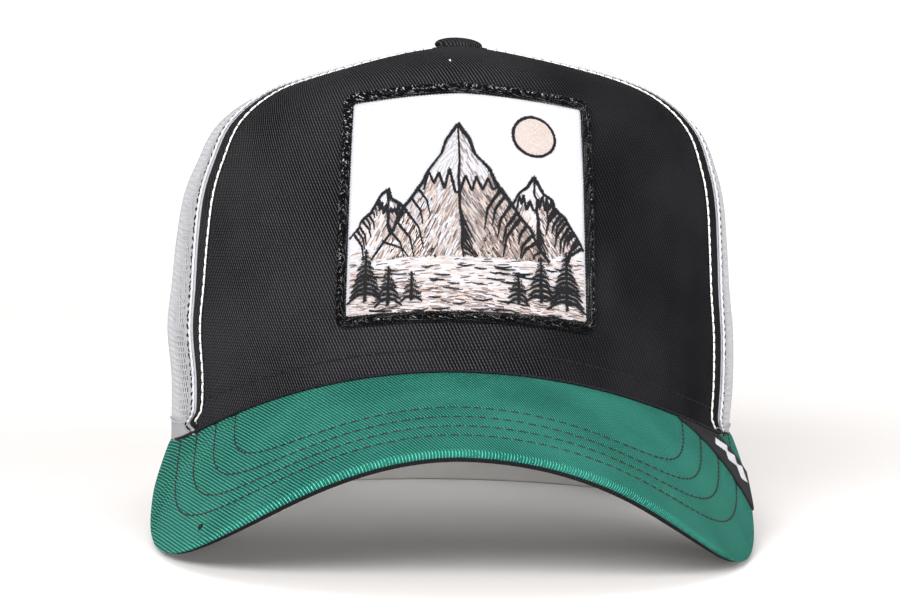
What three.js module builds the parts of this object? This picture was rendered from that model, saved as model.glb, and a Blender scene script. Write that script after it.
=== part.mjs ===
// Trucker cap with a one-piece front panel, four mesh panels, a curved peak, a framed patch and a snap strap.
// Millimetres, +Z up. The cap rests as it would on a table: the front looks along -Y and the floor is z = 0.
// Left and right are as seen from the front, so left is -X. The pieces are shaped round the head's middle, and
// the group then moves so that the origin is at the middle of the footprint.
import * as THREE from "three";

// Clearance between neighbouring pieces
const GAP = 0.3;

// The rim is an ellipse in plan, for a head of about 57 cm
const RIM = { halfWidth: 85, halfLength: 98, centreY: 3 };
const RIM_FRONT = RIM.centreY - RIM.halfLength;

// The upright line through the button, and the height of the crown there
const AXIS = { x: 1.5, y: 12, top: 143.4 };

// The crown's upright sections at the front, the two sides and the back.
// reach is the distance from the axis as a share of the rim's, rise the height as a share of the crown's.
// Between the front or back and a side, the sections blend by a power of the sine of the angle.
const SIDE_POWER = 1.5;
const SECTIONS = [
  { front: [1.0, 0.0], left: [1.0, 0.0], right: [1.0, 0.0], back: [1.0, 0.0] },
  { front: [0.977, 0.103], left: [1.002, 0.12], right: [1.012, 0.12], back: [1.045, 0.14] },
  { front: [0.945, 0.235], left: [1.018, 0.25], right: [1.01, 0.25], back: [1.075, 0.28] },
  { front: [0.905, 0.37], left: [1.004, 0.37], right: [0.994, 0.37], back: [1.082, 0.4] },
  { front: [0.858, 0.505], left: [0.989, 0.49], right: [0.982, 0.49], back: [1.062, 0.51] },
  { front: [0.808, 0.64], left: [0.965, 0.6], right: [0.967, 0.6], back: [1.01, 0.62] },
  { front: [0.758, 0.775], left: [0.922, 0.685], right: [0.938, 0.685], back: [0.93, 0.725] },
  { front: [0.715, 0.89], left: [0.853, 0.785], right: [0.88, 0.785], back: [0.81, 0.825] },
  { front: [0.65, 0.962], left: [0.725, 0.86], right: [0.757, 0.866], back: [0.64, 0.905] },
  { front: [0.54, 0.993], left: [0.53, 0.912], right: [0.55, 0.925], back: [0.44, 0.955] },
  { front: [0.3, 1.0], left: [0.27, 0.96], right: [0.275, 0.968], back: [0.215, 0.985] },
  { front: [0.0, 1.0], left: [0.0, 1.0], right: [0.0, 1.0], back: [0.0, 1.0] },
];

// The crown turns its edge down into a hem, which also hides the root of the peak
const HEM = { depth: 4, share: 0.04 };

// Levels of the crown run from -HEM.share at the hem's lower edge, through 0 at the peak's seam, to 1 at the axis.
// The panels stop here, round the hole that the button's shank fills.
const TOP_LEVEL = 0.982;

// Wall thicknesses: foam-backed twill, mesh, and the plain pieces
const WALL = { front: 2.6, mesh: 1.2, sweatband: 1.5, binding: 1.6, strap: 1.6 };

// Angles round the rim, from 0 at the front to 180 degrees at the back
const TURN = degrees(2.3);
const FRONT_SEAM = { atRim: degrees(65.2), spread: degrees(7.1), fullLevel: 0.7 };
const BACK_SEAM = degrees(123);

// The peak bends round the head. Its section is an arc at its root, and towards the front edge it has a crest
// radius and a further drop near the side edges. It is bent further down on the right.
const PEAK = {
  seamTop: 53.9,
  slope: 0.19,
  dropAt: 80,
  left: { bend: 101.4, crest: 65.4, sideDrop: 5 },
  right: { bend: 107.4, crest: 86, sideDrop: 19.8 },
  length: 73,
  halfWidth: 89,
  widestY: -36.5,
  squareness: 2.37,
  tail: 0.3,
  endAngle: degrees(82),
  endWidth: 1.2,
  top: 1.8,
  under: 1.0,
  endThin: 0.4,
  thinShare: 0.12,
};

// Behind the peak the rim runs back and down until it lies flat on the floor
const FLAT_FROM = degrees(145);

// Half-moon opening at the back, with its binding
const ARCH = { halfWidth: 44, height: 50, binding: 6, proud: 0.2 };

// The sweatband starts a little above the hem's lower edge. Past the front seams it moves outwards, because the
// mesh is thinner than the front panel.
const SWEATBAND = { base: 0.4, height: 30, end: degrees(141), clear: 0.7, stepFrom: degrees(6), stepTo: degrees(18) };
const STRAP = { height: 18, end: degrees(142), clear: 0.45 };

// The patch is bent onto the front panel: sizes run along the cloth
const PATCH = {
  width: 75,
  height: 72,
  middle: 49.6,
  angle: TURN + degrees(0.4),
  flare: 0.022,
  border: 3.4,
  outerRadius: 3.6,
  innerRadius: 0.8,
  fieldThick: 1.1,
  borderThick: 2.2,
};

// The side label is a strip of tape over the right side of the peak, from its root to its edge
const LABEL = {
  rootFrom: degrees(50),
  rootTo: degrees(68.5),
  edgeFront: [88.0, -42.5],
  edgeBack: [87.2, -21.5],
  clear: 1,
  thick: 0.6,
};

// A covered button: a low dome whose edge turns under, on a shank through the hole where the panels end
const BUTTON = { radius: 7, height: 2.4, edge: 1.1, turnUnder: 0.5, seat: 0.6, shankRadius: 1.6, shankDepth: 4 };

// How finely each piece is divided: columns run round the rim or along the peak's edge
const COLUMNS = { front: 30, side: 12, backPlain: 5, backArch: 10, binding: 30, sweatband: 60, strap: 22, peak: 40 };
const ROWS = { panel: 19, back: 15, sweatband: 3, strap: 4, peakTop: 6, peakUnder: 5 };
const LABEL_CELLS = { across: 5, along: 6 };
const FIELD_CELLS = 10;
const BUTTON_SIDES = 24;

// How finely curves are followed when a length is measured along the cloth
const LEVEL_STEP = 0.004;
const ANGLE_STEP = 0.01;

function degrees(angle) {
  return (angle * Math.PI) / 180;
}

const clamp = THREE.MathUtils.clamp;
const lerp = THREE.MathUtils.lerp;
const smoothstep = THREE.MathUtils.smoothstep;

// Shapes that the pieces lie on

function rimPoint(angle, outset = 0) {
  const x = RIM.halfWidth * Math.sin(angle);
  const y = -RIM.halfLength * Math.cos(angle);
  const outward = new THREE.Vector2(x / RIM.halfWidth ** 2, y / RIM.halfLength ** 2).normalize();
  return new THREE.Vector2(x + outset * outward.x, RIM.centreY + y + outset * outward.y);
}

// How far out a place in plan is: 1 on the rim
function outwardShare(x, y) {
  return Math.hypot(x / RIM.halfWidth, (y - RIM.centreY) / RIM.halfLength);
}

const TIP_SHARE = outwardShare(0, RIM_FRONT - PEAK.length);

function peakHeight(x, y) {
  const { bend, crest, sideDrop } = x < 0 ? PEAK.left : PEAK.right;
  const arc = bend - Math.sqrt(bend ** 2 - x ** 2);
  const frontSection = x ** 2 / (2 * crest) + sideDrop * (x / PEAK.dropAt) ** 4;
  const towardsTip = clamp((outwardShare(x, y) - 1) / (TIP_SHARE - 1), 0, 1);
  return PEAK.seamTop + PEAK.slope * (y - RIM_FRONT) - lerp(arc, frontSection, towardsTip);
}

function peakNormal(x, y) {
  const step = 0.01;
  const alongX = (peakHeight(x + step, y) - peakHeight(x - step, y)) / (2 * step);
  const alongY = (peakHeight(x, y + step) - peakHeight(x, y - step)) / (2 * step);
  return new THREE.Vector3(-alongX, -alongY, 1).normalize();
}

function peakPoint(x, y, lift) {
  return new THREE.Vector3(x, y, peakHeight(x, y)).addScaledVector(peakNormal(x, y), lift);
}

// Height of the seam line: on the peak, then an easy curve down to the stretch that lies flat
function seamHeight(angle) {
  const along = Math.abs(angle);
  const onPeak = (a) => peakHeight(rimPoint(a).x, rimPoint(a).y);
  if (along <= PEAK.endAngle) return onPeak(along);
  const span = FLAT_FROM - PEAK.endAngle;
  const step = 0.001;
  const startSlope = ((onPeak(PEAK.endAngle) - onPeak(PEAK.endAngle - step)) / step) * span;
  const q = clamp((along - PEAK.endAngle) / span, 0, 1);
  const fall = 2 * q ** 3 - 3 * q ** 2 + 1;
  return onPeak(PEAK.endAngle) * fall + startSlope * (q ** 3 - 2 * q ** 2 + q) + HEM.depth * (1 - fall);
}

const sectionCurve = (name) => new THREE.SplineCurve(SECTIONS.map((row) => new THREE.Vector2(...row[name])));
const frontCurve = sectionCurve("front");
const leftCurve = sectionCurve("left");
const rightCurve = sectionCurve("right");
const backCurve = sectionCurve("back");

function crownPoint(angle, level) {
  const sideShare = Math.abs(Math.sin(angle)) ** SIDE_POWER;
  const endCurve = Math.cos(angle) > 0 ? frontCurve : backCurve;
  const sideCurve = Math.sin(angle) < 0 ? leftCurve : rightCurve;
  const section = endCurve.getPoint(Math.max(level, 0)).lerp(sideCurve.getPoint(Math.max(level, 0)), sideShare);
  const rim = rimPoint(angle);
  const seam = seamHeight(angle);
  return new THREE.Vector3(
    AXIS.x + section.x * (rim.x - AXIS.x),
    AXIS.y + section.x * (rim.y - AXIS.y),
    seam + section.y * (AXIS.top - seam) + (HEM.depth * Math.min(level, 0)) / HEM.share,
  );
}

function crownNormal(angle, level) {
  const step = 0.0005;
  const along = crownPoint(angle + step, level).sub(crownPoint(angle - step, level));
  const up = crownPoint(angle, level + step).sub(crownPoint(angle, level - step));
  if (level < -step) up.set(0, 0, 1);
  return along.cross(up).normalize();
}

// A point of the crown, lifted off its outer face, or sunk into it where the lift is below zero
function onCrown(angle, level, lift) {
  return crownPoint(angle, level).addScaledVector(crownNormal(angle, level), lift);
}

// The level at which the crown has a height, by halving. It looks below the rounded top only.
function levelAt(angle, height) {
  const halvings = 40;
  let low = -HEM.share;
  let high = 0.75;
  for (let n = 0; n < halvings; n++) {
    const middle = (low + high) / 2;
    if (crownPoint(angle, middle).z < height) low = middle;
    else high = middle;
  }
  return low;
}

// A closed piece between two grids of points, which are functions of column and row.
// Columns run left to right and rows run up, seen from outside; a closed piece joins its last column to its first.
function shell(outside, inside, columns, rows, closed = false) {
  const positions = [];
  const index = [];
  const across = closed ? columns : columns + 1;
  for (const face of [outside, inside])
    for (let j = 0; j <= rows; j++)
      for (let i = 0; i < across; i++) positions.push(...face(i, j));
  const out = (i, j) => j * across + (i % across);
  const back = (i, j) => (rows + 1) * across + out(i, j);
  const quad = (a, b, c, d) => index.push(a, b, c, a, c, d);
  for (let j = 0; j < rows; j++)
    for (let i = 0; i < columns; i++) {
      quad(out(i, j), out(i + 1, j), out(i + 1, j + 1), out(i, j + 1));
      quad(back(i, j), back(i, j + 1), back(i + 1, j + 1), back(i + 1, j));
    }
  for (let i = 0; i < columns; i++) {
    quad(back(i, 0), back(i + 1, 0), out(i + 1, 0), out(i, 0));
    quad(out(i, rows), out(i + 1, rows), back(i + 1, rows), back(i, rows));
  }
  for (let j = 0; j < rows && !closed; j++) {
    quad(back(0, j), out(0, j), out(0, j + 1), back(0, j + 1));
    quad(out(columns, j), back(columns, j), back(columns, j + 1), out(columns, j + 1));
  }
  const geometry = new THREE.BufferGeometry();
  geometry.setAttribute("position", new THREE.Float32BufferAttribute(positions, 3));
  geometry.setIndex(index);
  geometry.computeVertexNormals();
  return geometry;
}

// A piece that follows the crown: place(i, j) gives its angle and level, top and bottom its lifts
function crownPiece(place, top, bottom, columns, rows) {
  const face = (lift) => (i, j) => {
    const [angle, level] = place(i, j);
    return onCrown(angle, level, typeof lift === "function" ? lift(angle) : lift);
  };
  return shell(face(top), face(bottom), columns, rows);
}

// Crown

// Rows of a full panel: the hem's lower edge, the seam line, then even steps to the top
function panelLevel(j) {
  return j === 0 ? -HEM.share : ((j - 1) / (ROWS.panel - 1)) * TOP_LEVEL;
}

// The angle at a share of the way across a panel, whose edges keep their gap up to the axis
function acrossPanel(from, to, share, level) {
  const reach = leftCurve.getPoint(Math.max(level, 0)).x;
  const gap = GAP / 2 / (RIM.halfWidth * reach);
  return lerp(from + gap, to - gap, share);
}

function fullPanel(from, to, thickness, columns) {
  const place = (i, j) => {
    const level = panelLevel(j);
    return [acrossPanel(from(level), to(level), i / columns, level), level];
  };
  return crownPiece(place, 0, -thickness, columns, ROWS.panel);
}

// The front panel's seams spread apart as they rise
function frontSeam(side) {
  const { atRim, spread, fullLevel } = FRONT_SEAM;
  return (level) => TURN + side * (atRim + spread * smoothstep(level, 0, fullLevel));
}

// Height of the edge of the opening, grown by a margin, at an angle round the rim; 0 outside the opening
function archHeight(angle, margin) {
  const fromBack = ((Math.PI - Math.abs(angle)) * RIM.halfWidth) / (ARCH.halfWidth + margin);
  return fromBack < 1 ? (ARCH.height + margin) * Math.sqrt(1 - fromBack ** 2) : 0;
}

// A back panel runs up from the hem, and over the opening from the outer edge of its binding
function backPanel(side) {
  const columns = COLUMNS.backPlain + COLUMNS.backArch;
  const margin = ARCH.binding + GAP;
  const archAngle = (ARCH.halfWidth + margin) / RIM.halfWidth;
  const angleOf = (i) => {
    if (i < COLUMNS.backPlain) return lerp(BACK_SEAM, Math.PI - archAngle, i / COLUMNS.backPlain);
    const turn = ((i - COLUMNS.backPlain) / COLUMNS.backArch) * (Math.PI / 2);
    return Math.PI - archAngle * Math.cos(turn);
  };
  const place = (i, j) => {
    const angle = angleOf(side > 0 ? i : columns - i);
    const lowest = levelAt(angle, archHeight(angle, margin));
    const level = lerp(lowest, TOP_LEVEL, j / ROWS.back);
    const share = (angle - BACK_SEAM) / (Math.PI - BACK_SEAM);
    return [side * acrossPanel(BACK_SEAM, Math.PI, share, level), level];
  };
  return crownPiece(place, 0, -WALL.mesh, columns, ROWS.back);
}

// The binding follows the arch from one foot to the other
function openingBinding() {
  const place = (i, j) => {
    const turn = (i / COLUMNS.binding) * Math.PI;
    const margin = j * ARCH.binding;
    const angle = Math.PI - ((ARCH.halfWidth + margin) / RIM.halfWidth) * Math.cos(turn);
    return [angle, levelAt(angle, (ARCH.height + margin) * Math.sin(turn))];
  };
  return crownPiece(place, ARCH.proud, ARCH.proud - WALL.binding, COLUMNS.binding, 1);
}

// A band inside the rim, between two angles, from a little above the hem's lower edge to a height over the seam
function innerBand(from, to, base, height, outerFace, thickness, columns, rows) {
  const place = (i, j) => {
    const angle = lerp(from, to, i / columns);
    const bottom = seamHeight(angle) - HEM.depth + base;
    return [angle, levelAt(angle, lerp(bottom, bottom + height, j / rows))];
  };
  return crownPiece(place, (angle) => -outerFace(angle), (angle) => -outerFace(angle) - thickness, columns, rows);
}

// Depth of the inner face of the panels: the front is thicker, and the step is eased behind its seam
function panelDepth(angle) {
  const pastSeam = Math.abs(angle) - FRONT_SEAM.atRim;
  const ease = smoothstep(pastSeam, SWEATBAND.stepFrom, SWEATBAND.stepTo);
  return lerp(WALL.front, WALL.mesh, ease) + SWEATBAND.clear;
}

function sweatband() {
  const { base, height, end } = SWEATBAND;
  return innerBand(-end, end, base, height, panelDepth, WALL.sweatband, COLUMNS.sweatband, ROWS.sweatband);
}

function snapStrap() {
  const { height, end, clear } = STRAP;
  const depth = () => WALL.binding - ARCH.proud + clear;
  return innerBand(end, 2 * Math.PI - end, 0, height, depth, WALL.strap, COLUMNS.strap, ROWS.strap);
}

function button() {
  const rise = (share) => BUTTON.edge + (BUTTON.height - BUTTON.edge) * Math.cos(share * (Math.PI / 2));
  const outline = [
    [0, -BUTTON.shankDepth],
    [BUTTON.shankRadius, -BUTTON.shankDepth],
    [BUTTON.shankRadius, 0],
    [BUTTON.radius - BUTTON.turnUnder, 0],
    [BUTTON.radius, BUTTON.edge / 2],
    ...[0.95, 0.75, 0.5, 0.25].map((share) => [BUTTON.radius * share, rise(share)]),
    [0, BUTTON.height],
  ].map((point) => new THREE.Vector2(...point));
  return new THREE.LatheGeometry(outline, BUTTON_SIDES).rotateX(Math.PI / 2);
}

// Peak

// The front edge in plan is a squared ellipse, and each side curves in to the crown behind the widest place.
// That tail gets as many more steps as PEAK.tail says, as a share of the steps of the ellipse's quarter.
function peakOutline() {
  const reach = PEAK.widestY - RIM_FRONT + PEAK.length;
  const end = rimPoint(PEAK.endAngle, PEAK.endWidth);
  const points = [];
  const steps = 24;
  for (let n = -steps; n <= steps; n++) {
    const side = Math.sign(n);
    const turn = (Math.abs(n) / steps) * (1 + PEAK.tail);
    if (turn <= 1) {
      const power = 2 / PEAK.squareness;
      const quarter = (turn * Math.PI) / 2;
      const x = PEAK.halfWidth * Math.sin(quarter) ** power;
      points.push(new THREE.Vector2(side * x, PEAK.widestY - reach * Math.max(Math.cos(quarter), 0) ** power));
    } else {
      const tail = (turn - 1) / PEAK.tail;
      const x = lerp(PEAK.halfWidth, end.x, tail ** 2);
      points.push(new THREE.Vector2(side * x, lerp(PEAK.widestY, end.y, tail)));
    }
  }
  return new THREE.SplineCurve(points);
}

// The root of the peak follows the rim
function peakRoot() {
  const points = [];
  const steps = 32;
  for (let n = -steps; n <= steps; n++) points.push(rimPoint((n / steps) * PEAK.endAngle, GAP));
  return new THREE.SplineCurve(points);
}

// One layer of the peak between two depths; it thins towards its two ends
function peakLayer(topDepth, bottomDepth, columns, rows) {
  const edges = peakOutline().getSpacedPoints(columns);
  const roots = peakRoot().getSpacedPoints(columns);
  const face = (depth) => (i, j) => {
    const fromEnd = Math.min(i, columns - i) / columns;
    const sunk = depth * lerp(PEAK.endThin, 1, smoothstep(fromEnd, 0, PEAK.thinShare));
    const leaning = peakNormal(roots[i].x, roots[i].y);
    const root = roots[i].clone().add(new THREE.Vector2(leaning.x, leaning.y).multiplyScalar(sunk));
    const plan = edges[i].clone().lerp(root, j / rows);
    return peakPoint(plan.x, plan.y, -sunk);
  };
  return shell(face(topDepth), face(bottomDepth), columns, rows);
}

function sideLabel() {
  const { across: columns, along: rows } = LABEL_CELLS;
  const face = (lift) => (i, j) => {
    const root = rimPoint(lerp(LABEL.rootFrom, LABEL.rootTo, i / columns), LABEL.clear);
    const edge = new THREE.Vector2(...LABEL.edgeFront).lerp(new THREE.Vector2(...LABEL.edgeBack), i / columns);
    const plan = edge.lerp(root, j / rows);
    return peakPoint(plan.x, plan.y, lift);
  };
  return shell(face(GAP + LABEL.thick), face(GAP), columns, rows);
}

// Patch

// Walks along a curve in small steps of its parameter until the distance is covered, and returns the parameter
function walk(pointAt, start, distance, step) {
  let parameter = start;
  let left = Math.abs(distance);
  const stride = Math.sign(distance) * step;
  let here = pointAt(parameter);
  while (left > 0) {
    const next = pointAt(parameter + stride);
    const length = here.distanceTo(next);
    parameter += stride * Math.min(1, left / length);
    left -= length;
    here = next;
  }
  return parameter;
}

// A point of the patch, from its middle, in mm along the cloth. The patch is a little wider at its foot.
function onFront(across, up, lift) {
  const flared = across * (1 - (PATCH.flare * up) / (PATCH.height / 2));
  const level = walk((v) => crownPoint(PATCH.angle, v), 0, PATCH.middle + up, LEVEL_STEP);
  const angle = walk((a) => crownPoint(a, level), PATCH.angle, flared, ANGLE_STEP);
  return onCrown(angle, level, lift);
}

function patchField() {
  const inset = PATCH.border + GAP;
  const place = (n, size) => (n / FIELD_CELLS - 0.5) * (size - 2 * inset);
  const face = (lift) => (i, j) => onFront(place(i, PATCH.width), place(j, PATCH.height), lift);
  return shell(face(GAP + PATCH.fieldThick), face(GAP), FIELD_CELLS, FIELD_CELLS);
}

// Points round a rectangle with round corners, with the same number whatever its size
function roundedRectangle(width, height, radius) {
  const points = [];
  const arcSteps = 3;
  const sideSteps = 8;
  const corners = [
    [1, -1],
    [1, 1],
    [-1, 1],
    [-1, -1],
  ];
  const centres = corners.map(([x, y]) => new THREE.Vector2(x * (width / 2 - radius), y * (height / 2 - radius)));
  const onArc = (n, turn) =>
    centres[n].clone().add(new THREE.Vector2(radius, 0).rotateAround(new THREE.Vector2(), turn));
  for (let n = 0; n < 4; n++) {
    const start = degrees(90 * (n - 1));
    for (let k = 0; k < arcSteps; k++) points.push(onArc(n, start + degrees((90 * k) / arcSteps)));
    const leave = onArc(n, start + degrees(90));
    const arrive = onArc((n + 1) % 4, start + degrees(90));
    for (let k = 0; k < sideSteps; k++) points.push(leave.clone().lerp(arrive, k / sideSteps));
  }
  return points;
}

function patchBorder() {
  const innerSize = 2 * PATCH.border;
  const lines = [
    roundedRectangle(PATCH.width, PATCH.height, PATCH.outerRadius),
    roundedRectangle(PATCH.width - innerSize, PATCH.height - innerSize, PATCH.innerRadius),
  ];
  const face = (lift) => (i, j) => onFront(lines[j][i].x, lines[j][i].y, lift);
  return shell(face(GAP + PATCH.borderThick), face(GAP), lines[0].length, 1, true);
}

// Finishes: colour, roughness
const TWILL_BLACK = [0x262426, 0.85];
const MESH_GREY = [0xc8c8cd, 0.6];
const TWILL_GREEN = [0x26765c, 0.8];
const THREAD_BLACK = [0x1c1b1d, 0.7];
const FIELD_WHITE = [0xf0f0ee, 0.75];
const BAND_BLACK = [0x2a292b, 0.9];
const STRAP_BLACK = [0x202022, 0.45];

const cap = new THREE.Group();

function add(name, geometry, [color, roughness]) {
  const mesh = new THREE.Mesh(geometry, new THREE.MeshStandardMaterial({ color, roughness, metalness: 0 }));
  mesh.name = name;
  cap.add(mesh);
  return mesh;
}

add("front_panel", fullPanel(frontSeam(-1), frontSeam(1), WALL.front, COLUMNS.front), TWILL_BLACK);
add("mesh_side_left", fullPanel(() => -BACK_SEAM, frontSeam(-1), WALL.mesh, COLUMNS.side), MESH_GREY);
add("mesh_side_right", fullPanel(frontSeam(1), () => BACK_SEAM, WALL.mesh, COLUMNS.side), MESH_GREY);
add("mesh_back_left", backPanel(-1), MESH_GREY);
add("mesh_back_right", backPanel(1), MESH_GREY);
add("opening_binding", openingBinding(), MESH_GREY);
add("sweatband", sweatband(), BAND_BLACK);
add("snap_strap", snapStrap(), STRAP_BLACK);
add("button", button(), TWILL_BLACK).position.set(AXIS.x, AXIS.y, AXIS.top + BUTTON.seat);

const underDepth = PEAK.top + GAP;
add("peak_top", peakLayer(0, PEAK.top, COLUMNS.peak, ROWS.peakTop), TWILL_GREEN);
add("peak_under", peakLayer(underDepth, underDepth + PEAK.under, COLUMNS.peak, ROWS.peakUnder), TWILL_BLACK);
add("peak_label", sideLabel(), THREAD_BLACK);

add("patch_field", patchField(), FIELD_WHITE);
add("patch_border", patchBorder(), THREAD_BLACK);

// The origin is at the middle of the footprint
const box = new THREE.Box3().setFromObject(cap);
const middle = box.getCenter(new THREE.Vector3());
cap.position.set(-middle.x, -middle.y, -box.min.z);

export default cap;
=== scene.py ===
# Trucker cap: cloth, net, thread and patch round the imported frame. Left and right are as seen from the front.
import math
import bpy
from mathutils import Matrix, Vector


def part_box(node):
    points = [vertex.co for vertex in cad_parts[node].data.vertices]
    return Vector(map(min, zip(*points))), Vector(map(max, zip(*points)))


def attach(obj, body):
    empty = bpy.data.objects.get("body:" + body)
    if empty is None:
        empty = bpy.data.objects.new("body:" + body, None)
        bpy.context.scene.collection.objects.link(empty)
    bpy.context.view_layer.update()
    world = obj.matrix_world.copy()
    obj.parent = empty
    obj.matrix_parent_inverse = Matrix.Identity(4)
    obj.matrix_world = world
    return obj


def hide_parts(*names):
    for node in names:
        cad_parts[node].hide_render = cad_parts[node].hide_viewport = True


bl_info = {
    "name": "Trucker Cap",
    "version": (1, 0, 0),
    "blender": (4, 5, 0),
    "location": "3D View > Sidebar > Cap",
    "description": "Builds a trucker cap's cloth, net, stitching and patch round its frame",
    "category": "Add Mesh",
}

import bmesh
import bpy
import numpy as np
from bpy.props import FloatProperty, FloatVectorProperty, IntProperty, PointerProperty
from mathutils import Matrix, Vector

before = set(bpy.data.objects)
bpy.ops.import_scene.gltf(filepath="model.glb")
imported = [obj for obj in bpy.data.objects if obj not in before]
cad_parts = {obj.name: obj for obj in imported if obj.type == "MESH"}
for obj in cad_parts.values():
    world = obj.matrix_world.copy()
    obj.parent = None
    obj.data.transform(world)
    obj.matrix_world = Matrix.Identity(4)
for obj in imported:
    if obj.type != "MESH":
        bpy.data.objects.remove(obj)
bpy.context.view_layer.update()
BODY = "root"
MM = 0.001

# Shapes below are worked out in mm, in the frame that the solids are shaped in: these sizes repeat theirs.
GAP = 0.3
RIM_HALF_WIDTH = 85
RIM_HALF_LENGTH = 98
RIM_CENTRE_Y = 3
RIM_FRONT = RIM_CENTRE_Y - RIM_HALF_LENGTH
AXIS_X = 1.5
AXIS_Y = 12
CROWN_TOP = 143.4
SIDE_POWER = 1.5
# Upright sections of the crown, from the seam to the axis: reach from the axis and rise, as shares
SECTIONS = {
    "front": [
        (1.0, 0.0), (0.977, 0.103), (0.945, 0.235), (0.905, 0.37), (0.858, 0.505), (0.808, 0.64),
        (0.758, 0.775), (0.715, 0.89), (0.65, 0.962), (0.54, 0.993), (0.3, 1.0), (0.0, 1.0),
    ],
    "left": [
        (1.0, 0.0), (1.002, 0.12), (1.018, 0.25), (1.004, 0.37), (0.989, 0.49), (0.965, 0.6),
        (0.922, 0.685), (0.853, 0.785), (0.725, 0.86), (0.53, 0.912), (0.27, 0.96), (0.0, 1.0),
    ],
    "right": [
        (1.0, 0.0), (1.012, 0.12), (1.01, 0.25), (0.994, 0.37), (0.982, 0.49), (0.967, 0.6),
        (0.938, 0.685), (0.88, 0.785), (0.757, 0.866), (0.55, 0.925), (0.275, 0.968), (0.0, 1.0),
    ],
    "back": [
        (1.0, 0.0), (1.045, 0.14), (1.075, 0.28), (1.082, 0.4), (1.062, 0.51), (1.01, 0.62),
        (0.93, 0.725), (0.81, 0.825), (0.64, 0.905), (0.44, 0.955), (0.215, 0.985), (0.0, 1.0),
    ],
}
HEM_DEPTH = 4
HEM_SHARE = 0.04
TOP_LEVEL = 0.982
STEEP_TO = 0.75
# A slight rise of the top before the button: its height, levels, middle and half width
CROWN_RISE = 0.75
CROWN_RISE_LEVELS = (0.78, 0.92)
CROWN_RISE_X = -12
CROWN_RISE_WIDTH = 36
FRONT_WALL = 2.6
TURN = math.radians(2.3)
SEAM_AT_RIM = math.radians(65.2)
SEAM_SPREAD = math.radians(7.1)
SEAM_FULL_LEVEL = 0.7
SEAM_SWEEP = math.radians(8)
SEAM_SWEEP_LEVELS = (0.7, 0.87)
BACK_SEAM = math.radians(123)
FLAT_FROM = math.radians(145)
SIDES = ((-1, "left"), (1, "right"))

# Beside the front seams: the panel's folded edge, whose width grows from its foot to a level, and the net's
# strips as names, distances from the seam and how proud they stand
DENSE_EDGE = 0.35
SEAM_FOLD = 7.0
FOLD_INNER = 0.1
FOLD_PROUD = 0.45
FOLD_DIP = 0.45
FOLD_DIP_WIDTH = 0.8
FOLD_SHARES = {-1: (0.67, 1.03), 1: (0.97, 1.16)}
FOLD_FULL_LEVEL = 0.45
NET_STRIPS = [("net_fold", 0.2, 2.6, 0.5), ("net_tape", 2.5, 8.0, 0.25)]
STRIP_TUCK = 0.35
# Where the peak's seam catches a front seam, it bends outwards: how far, at what height and over what height
PINCH = math.radians(3.2)
PINCH_HEIGHT = 0.4
PINCH_WIDTH = 2.6
LEVEL_HEIGHT = 147
# Rows of stitches beside a front seam, on the net's side: name, distance from it, lift and lowest level
NET_ROWS = [
    ("net_edge_stitch", 0.6, 0.5, 0.006),
    ("net_topstitch", 2.2, 0.5, -HEM_SHARE),
    ("net_second_stitch", 3.7, 0.2, -HEM_SHARE),
]
TOPSTITCH_FROM = 0.004
TOPSTITCH_LIFT = 0.05
WELT_HALF = 2.6
WELT_PROUD = 0.4
WELT_ROW = 1.7
WELT_ROW_LIFT = 0.35

# Hem of the net, which drops behind the peak's ends, and the panel's row of stitches over the peak's seam
HEM_FROM = SEAM_AT_RIM + math.radians(1.5)
HEM_HEIGHT = 6.6
HEM_ROW = 5.2
HEM_DROP = 5.0
HEM_DROP_AT = math.radians(88)
HEM_DROP_WIDTH = 0.16
HEM_FOLD = 0.25
HEM_WALL = 0.5
PANEL_ROW = 6.3
PANEL_ROW_DIP = 0.25

PEAK_SEAM_TOP = 53.9
PEAK_SLOPE = 0.19
PEAK_DROP_AT = 80
PEAK_BEND = {"left": (101.4, 65.4, 5), "right": (107.4, 86, 19.8)}
PEAK_LENGTH = 73
PEAK_HALF_WIDTH = 89
PEAK_WIDEST_Y = -36.5
PEAK_SQUARENESS = 2.37
PEAK_TAIL = 0.3
PEAK_END = math.radians(82)
PEAK_END_WIDTH = 1.2
PEAK_TOP = 1.8
PEAK_UNDER = 1.0

ARCH_HALF_WIDTH = 44
ARCH_HEIGHT = 50
BINDING = 6
BINDING_WALL = 1.6
BINDING_PROUD = 0.2
BAND_BASE = 0.4
BAND_HEIGHT = 30
BAND_END = math.radians(141)
BAND_CLEAR = 0.7
BAND_STEP = (math.radians(6), math.radians(18))
NET_WALL = 1.2
NET_LIFT = -0.3
STRAP_HEIGHT = 18
STRAP_END = math.radians(142)
STRAP_CLEAR = 0.45
STRAP_WALL = 1.6
STRAP_LAP = 0.45
STRAP_LAP_AT = 0.62
STUDS = 7
STUD_SIZE = (2.6, 2.6, 0.9)

PATCH_WIDTH = 75
PATCH_HEIGHT = 72
PATCH_MIDDLE = 50.1
PATCH_ANGLE = TURN - math.radians(0.35)
PATCH_EASE = 0.99
PATCH_FLARE = 0.033
PATCH_BORDER = 3.4
PATCH_OUTER_RADIUS = 3.6
PATCH_INNER_RADIUS = 0.8
FIELD_THICK = 1.1
FIELD_TUCK = 0.4
FIELD_WALL = 0.6
FIELD_LIFT = GAP + FIELD_THICK - 0.3
BORDER_THICK = 2.2
BORDER_FOOT = 0.1
# The border's wraps: how far each leans, how far and how often they wander, and the groove between two
WRAP_LEAN = 0.9
WRAP_WANDER = 0.12
WRAP_WAVES = 41
WRAP_GROOVE = 0.28

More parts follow.
